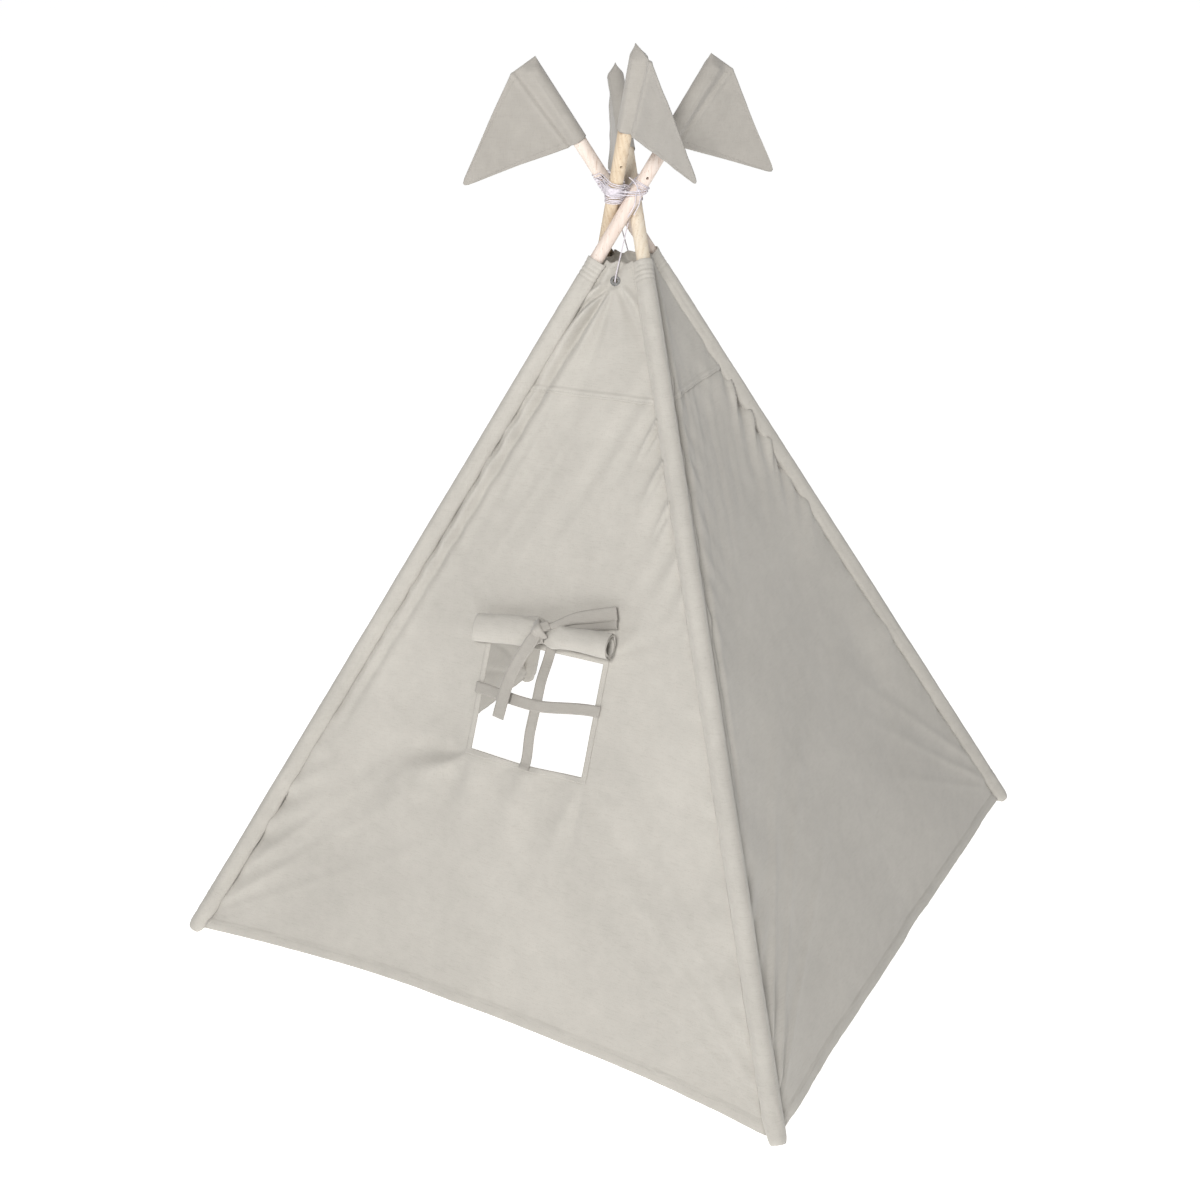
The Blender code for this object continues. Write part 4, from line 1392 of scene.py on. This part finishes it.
def web(quarters, start, end, turns, tilt, aim, layer, seed):
    """Turns round some of the poles, tilted so that they lie as a web."""
    path = []
    around = 60
    for number in range(turns):
        share = number / max(1, turns - 1)
        middle = CROSSING_HEIGHT + start + (end - start) * share
        lean = tilt * (1 + 0.5 * seeded(number * 1.9, 0.7, seed))
        facing = aim + 0.5 * seeded(number * 2.3, 1.1, seed)
        outline = round_outline(hull(middle, ROPE_RADIUS + layer, quarters), around)
        for step, (x, y) in enumerate(outline):
            climb = (end - start) / max(1, turns - 1) * step / around
            height = middle + climb + lean * math.sin(math.atan2(y, x) - facing)
            path.append(clear_of_poles(Vector((x, y, height)), ROPE_RADIUS + layer * 0.4))
    return path


def coil(quarter, start, turns, pitch, seed):
    """Close turns round one pole, above the crossing."""
    middle, way = pole_line(quarter)
    side = way.orthogonal().normalized()
    other = way.cross(side)
    path = []
    for step in range(turns * 24 + 1):
        angle = 2 * math.pi * step / 24
        up = start + pitch * step / 24 + 0.0016 * seeded(step * 0.09, 1.7, seed)
        arm = side * math.cos(angle) + other * math.sin(angle)
        path.append(middle + way * up + arm * (POLE_RADIUS + ROPE_RADIUS * 1.1))
    return path


def knot_paths():
    """The knot on pole a, three small turns, and three loose ends that hang from it."""
    middle, way = pole_line(0)
    facing = Vector((math.cos(KNOT_TURN), math.sin(KNOT_TURN), 0))
    beside = facing.cross(Vector((0, 0, 1)))
    flat = (facing - way * facing.dot(way)).normalized()
    knot = middle + way * KNOT_ALONG + flat * (POLE_RADIUS + ROPE_RADIUS * 1.1 + 0.0020)
    paths = []
    for tilt in (-0.9, 0.0, 0.9):
        side = beside * math.cos(tilt) + Vector((0, 0, 1)) * math.sin(tilt)
        angles = [2 * math.pi * step / 24 for step in range(25)]
        paths.append([knot + side * math.cos(a) * 0.0030 + facing * math.sin(a) * 0.0024 for a in angles])
    ends = (
        ((-0.004, 0.004, 0.010), (-0.010, 0.006, 0.018), (-0.016, 0.004, 0.022)),
        ((0.003, 0.004, -0.008), (0.001, 0.006, -0.022), (-0.008, 0.004, -0.040)),
        ((-0.004, 0.004, -0.006), (-0.007, 0.007, -0.024), (-0.018, 0.004, -0.044)),
    )
    for steps in ends:
        route = [knot]
        for across, out, up in steps:
            point = knot + beside * -across + facing * out + Vector((0, 0, up))
            route.append(clear_of_poles(point, ROPE_RADIUS))
        paths.append([clear_of_poles(point, ROPE_RADIUS) for point in catmull(route, 10)])
    return paths


def lashing():
    """Thin cord wound round the poles just above their crossing, tied off in front."""
    tubes = Tubes()
    for turns in (
        ((1, 2, 3), 0.014, 0.040, 8, 0.006, 0.4, 0.0000, 71),
        ((1, 2, 3), 0.018, 0.036, 5, 0.012, 2.4, 0.0012, 72),
        ((2, 3), 0.020, 0.044, 6, -0.010, 4.0, 0.0006, 73),
        ((1, 2, 3), 0.022, 0.040, 4, -0.015, 5.2, 0.0020, 74),
        ((0, 1, 2, 3), 0.030, 0.038, 3, 0.009, 1.2, 0.0004, 75),
    ):
        tubes.strand(web(*turns), ROPE_RADIUS)
    mesh = tubes.mesh("lashing_rope")
    put("lashing_rope", mesh, ROPE, "crown", 0, ["lashing", "lashing_knot"])
    on_pole = {
        "pole_a": [coil(0, 0.040, 3, 0.0030, 76), *knot_paths()],
        "pole_c": [coil(2, 0.012, 6, 0.0045, 77), coil(2, 0.040, 3, 0.0032, 78)],
        "pole_d": [coil(3, 0.040, 3, 0.0040, 79)],
    }
    for body, paths in on_pole.items():
        tubes = Tubes()
        for path in paths:
            tubes.strand(path, ROPE_RADIUS)
        put(f"{body}_rope", tubes.mesh(f"{body}_rope"), ROPE, body)


# Pennants


FLAG_BOTTOM = 1.688
FLAG_TOP = 1.842
FLAG_SHOULDER = 0.034  # how far out the top edge starts to fall
FLAG_HEEL = 0.022  # how far out the bottom edge starts to rise
FLAG_TIP_OUT = 0.200
FLAG_TIP_ALONG = 1.742
FLAG_SLEEVE = 0.0143
FLAG_WIDTH = FLAG_TIP_OUT + FLAG_SLEEVE
FLAG_SEAM = 0.0180
FLAG_TURNS = (8.0, -5.0, -2.0, 17.0)  # degrees about each pole, from straight outwards


def flag_shape(quarter):
    """How a pennant lies: place(side) gives its (across, up) surface, and seam its sewn edge."""
    trim = pole_trim(quarter)
    pole_top = POLE_TOP + trim
    bottom, top, tip = FLAG_BOTTOM + trim, FLAG_TOP + trim, FLAG_TIP_ALONG + trim
    origin = left_axis(CROSSING_HEIGHT)
    straight = Vector((1, 1, 0)).normalized()
    straight = (straight - POLE_WAY * straight.dot(POLE_WAY)).normalized()
    out_way = Quaternion(POLE_WAY, math.radians(FLAG_TURNS[quarter])) @ straight
    beside = POLE_WAY.cross(out_way)
    seed = 81 + 3 * quarter

    def seam(along):
        """The sewn edge of the part that holds the pole: it leans out towards the top."""
        return FLAG_SEAM + 0.010 * (along - bottom) / (top - bottom)

    def half_thick(out, along):
        closed = min(1.0, max(0.0, (along - pole_top) / (top - pole_top)))
        edge = seam(along)
        round_part = math.sqrt(max(0.0, FLAG_SLEEVE**2 - min(max(out, -FLAG_SLEEVE), FLAG_SLEEVE) ** 2))
        flank = FLAG_SLEEVE * (1 - smooth(0.004, edge, out))
        full = round_part if out < 0.003 else max(round_part * 0.9, flank)
        return max(full * (1 - closed), 0.0)

    def outline(out):
        fall = (top - tip - 0.004) / (FLAG_TIP_OUT - FLAG_SHOULDER)
        rise = (tip - 0.004 - bottom) / (FLAG_TIP_OUT - FLAG_HEEL)
        high = top - 0.0008 - fall * max(0.0, out - FLAG_SHOULDER)
        low = bottom + rise * max(0.0, out - FLAG_HEEL)
        return low, high

    def place(side):
        def point(across, up):
            out = FLAG_WIDTH * across**1.25 - FLAG_SLEEVE
            low, high = outline(out)
            along = low + (high - low) * up
            blunt = smooth(FLAG_TIP_OUT - 0.007, FLAG_TIP_OUT, out)
            along += (tip - along) * 0.55 * blunt * blunt
            free = smooth(FLAG_SEAM, 0.09, out)
            wave = 0.0024 * free * math.sin(out * 26 + 10 * along + quarter * 1.7)
            wave += 0.0042 * free * seeded(out * 11, along * 11, seed)
            wave += 0.0012 * seeded(out * 45, along * 45, seed + 1) * smooth(0.02, 0.04, out)
            thick = half_thick(out, along)
            rim = bump(up - 1, 0.06) + bump(up, 0.06) if out > 0.03 else 0.0
            piping = 0.0007 + 0.0006 * min(1.0, rim)
            groove = 0.0004 * bump(out - seam(along), 0.0016)
            groove -= 0.0016 * bump(out - seam(along) - 0.0055, 0.0034)
            crinkle = 0.0009 * seeded(along * 60, out * 60, seed + 2) * bump(out - 0.004, 0.02)
            offset = wave + side * (max(thick, piping - groove) + crinkle * (thick > 0.003))
            return origin + POLE_WAY * (along - CROSSING_ALONG) + out_way * out + beside * offset

        return point

    return place, seam, (bottom, top), beside


def flag_mesh(name, place):
    """Both sides of a pennant, joined at its tip, its ends and past its seam."""
    columns, rows = 84, 48
    points = []
    for side in (1, -1):
        surface = place(side)
        for row in range(rows + 1):
            points += [surface(column / columns, row / rows) for column in range(columns + 1)]
    width = columns + 1
    other = width * (rows + 1)
    faces = grid_faces(columns, rows)
    faces += [face[::-1] for face in grid_faces(columns, rows, other)]
    for row in range(rows):
        a = row * width + columns
        faces.append((a, a + other, a + width + other, a + width))
        a = row * width
        faces.append((a, a + width, a + width + other, a + other))
    for column in range(columns):
        a = rows * width + column
        faces.append((a, a + 1, a + 1 + other, a + other))
        out = FLAG_WIDTH * (column / columns) ** 1.25 - FLAG_SLEEVE
        if out > FLAG_SEAM - 0.002:
            faces.append((column + 1, column, column + other, column + 1 + other))
    mesh = mesh_of(name, points, faces)
    with editing(mesh) as bm:
        bmesh.ops.remove_doubles(bm, verts=bm.verts[:], dist=0.00002)
        bmesh.ops.recalc_face_normals(bm, faces=bm.faces[:])
    mesh.shade_smooth()
    return mesh


def flag(quarter):
    """A pennant: cloth folded round the pole's top, sewn beside it and across the top."""
    body = f"flag_{POLE_NAMES[quarter]}"
    place, seam, (bottom, top), beside = flag_shape(quarter)
    tall = top - bottom
    sheet = {
        "flat": (2 * FLAG_WIDTH, tall),
        "held": "folded",
        "area": 0.62 * 2 * FLAG_WIDTH * tall,
        "rests_on": [f"pole_{POLE_NAMES[quarter]}"],
        "thickness": 0.0004,
    }
    mesh = flag_mesh(f"{body}_cloth", place)
    put(f"{body}_cloth", mesh, FLAG, body, quarter, [body], sheet)
    stitches = Stitches()
    for side in (1, -1):
        face = place(side)
        normal = beside * side
        path = []
        for step in range(41):
            up = 0.01 + 0.97 * step / 40
            out = seam(bottom + tall * up) + 0.0008
            across = ((out + FLAG_SLEEVE) / FLAG_WIDTH) ** 0.8
            path.append(face(across, up) + normal * 0.0003)
        stitches.line(path, [normal] * 41)
        for up in (0.93, 0.07):
            path = [face(0.25 + 0.70 * step / 60, up) + normal * 0.0003 for step in range(61)]
            stitches.line(path, [normal] * 61)
    stitches.put(f"{body}_stitches", body, "flag_cotton", quarter)


def pole_trim(quarter):
    """How far a pole's top is from the usual place, which is pole a's, along the pole."""
    letter = POLE_NAMES[quarter]
    return (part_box(f"pole_{letter}")[1].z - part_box("pole_a")[1].z) / POLE_WAY.z


# Stage


def camera():
    """The viewpoint: in front of the window face, to its right and above, looking down."""
    place = Vector((1.3942, -2.4216, 1.8102))
    yaw, pitch, roll = (math.radians(angle) for angle in (30.849, 23.843, -0.417))
    back = Vector((math.sin(yaw) * math.cos(pitch), -math.cos(yaw) * math.cos(pitch), math.sin(pitch)))
    right = Vector((math.cos(yaw), math.sin(yaw), 0))
    up = back.cross(right)
    right, up = (
        right * math.cos(roll) + up * math.sin(roll), up * math.cos(roll) - right * math.sin(roll)
    )
    data = bpy.data.cameras.new("camera")
    data.lens = 48.77
    data.sensor_width = 36
    data.clip_end = 200
    obj = bpy.data.objects.new("camera", data)
    bpy.context.scene.collection.objects.link(obj)
    obj.matrix_world = Matrix.Translation(place) @ Matrix((right, up, back)).transposed().to_4x4()
    bpy.context.scene.camera = obj


def light(name, place, aim, size, power):
    data = bpy.data.lights.new(name, "AREA")
    data.size = size
    data.energy = power
    obj = bpy.data.objects.new(name, data)
    bpy.context.scene.collection.objects.link(obj)
    obj.location = place
    obj.rotation_euler = (Vector(aim) - Vector(place)).to_track_quat("-Z", "Y").to_euler()


def stage():
    """A wide pale floor, a soft sky and two large lights."""
    half = 60.0
    corners = [(-half, -half, 0), (half, -half, 0), (half, half, 0), (-half, half, 0)]
    floor = bpy.data.objects.new("floor", mesh_of("floor", corners, [(0, 1, 2, 3)]))
    bpy.context.scene.collection.objects.link(floor)
    floor.data.materials.append(flooring("floor_paint"))
    world = bpy.data.worlds.new("studio")
    world.use_nodes = True
    world.node_tree.nodes["Background"].inputs["Color"].default_value = (1, 1, 1, 1)
    world.node_tree.nodes["Background"].inputs["Strength"].default_value = 0.16
    bpy.context.scene.world = world
    middle = (0, 0, 0.6)
    light("key", (1.5, -4.4, 3.2), middle, 1.2, 190)
    light("top", (-0.3, 0.6, 5.0), middle, 1.5, 30)
    bpy.context.scene.view_settings.view_transform = "Standard"


def looks_for_cad():
    """Better materials for the CAD nodes that stay visible."""
    woods = (
        ((0.80, 0.70, 0.63), (0.68, 0.55, 0.47)), ((0.79, 0.71, 0.59), (0.67, 0.56, 0.42)),
        ((0.78, 0.69, 0.62), (0.67, 0.55, 0.47)), ((0.68, 0.57, 0.43), (0.50, 0.37, 0.24))
    )
    for quarter, letter in enumerate(POLE_NAMES):
        way = turned(quarter) @ POLE_WAY
        pole = frame["nodes"][f"pole_{letter}"]
        pole.data.materials.clear()
        pole.data.materials.append(pine(f"pine_{letter}", *woods[quarter], way))
    for name in ("eyelet_window", "eyelet_door"):
        node = frame["nodes"][name]
        node.data.materials.clear()
        node.data.materials.append(STEEL)


def build():
    camera()
    stage()
    for quarter, name in enumerate(FACE_NAMES):
        stitches = Stitches()
        if name != "door":
            lower_panel(quarter, stitches)
            edge_stitches(quarter, stitches, 0.03, COVER_TOP)
        else:
            edge_stitches(quarter, stitches, SEAM_HEIGHT, COVER_TOP)
        yoke(quarter, stitches)
        if quarter == 0:
            window_bars(stitches)
            window_border(stitches)
        stitches.put(f"face_{name}_stitches", f"face_{name}", "cotton", quarter, fold=True)
    for quarter in range(4):
        sleeve(quarter)
        flag(quarter)
    flap_roll()
    window_tie()
    for mirrored in (False, True):
        curtain(mirrored)
    cover_cord(0)
    cover_cord(2)
    lashing()
    looks_for_cad()


build()
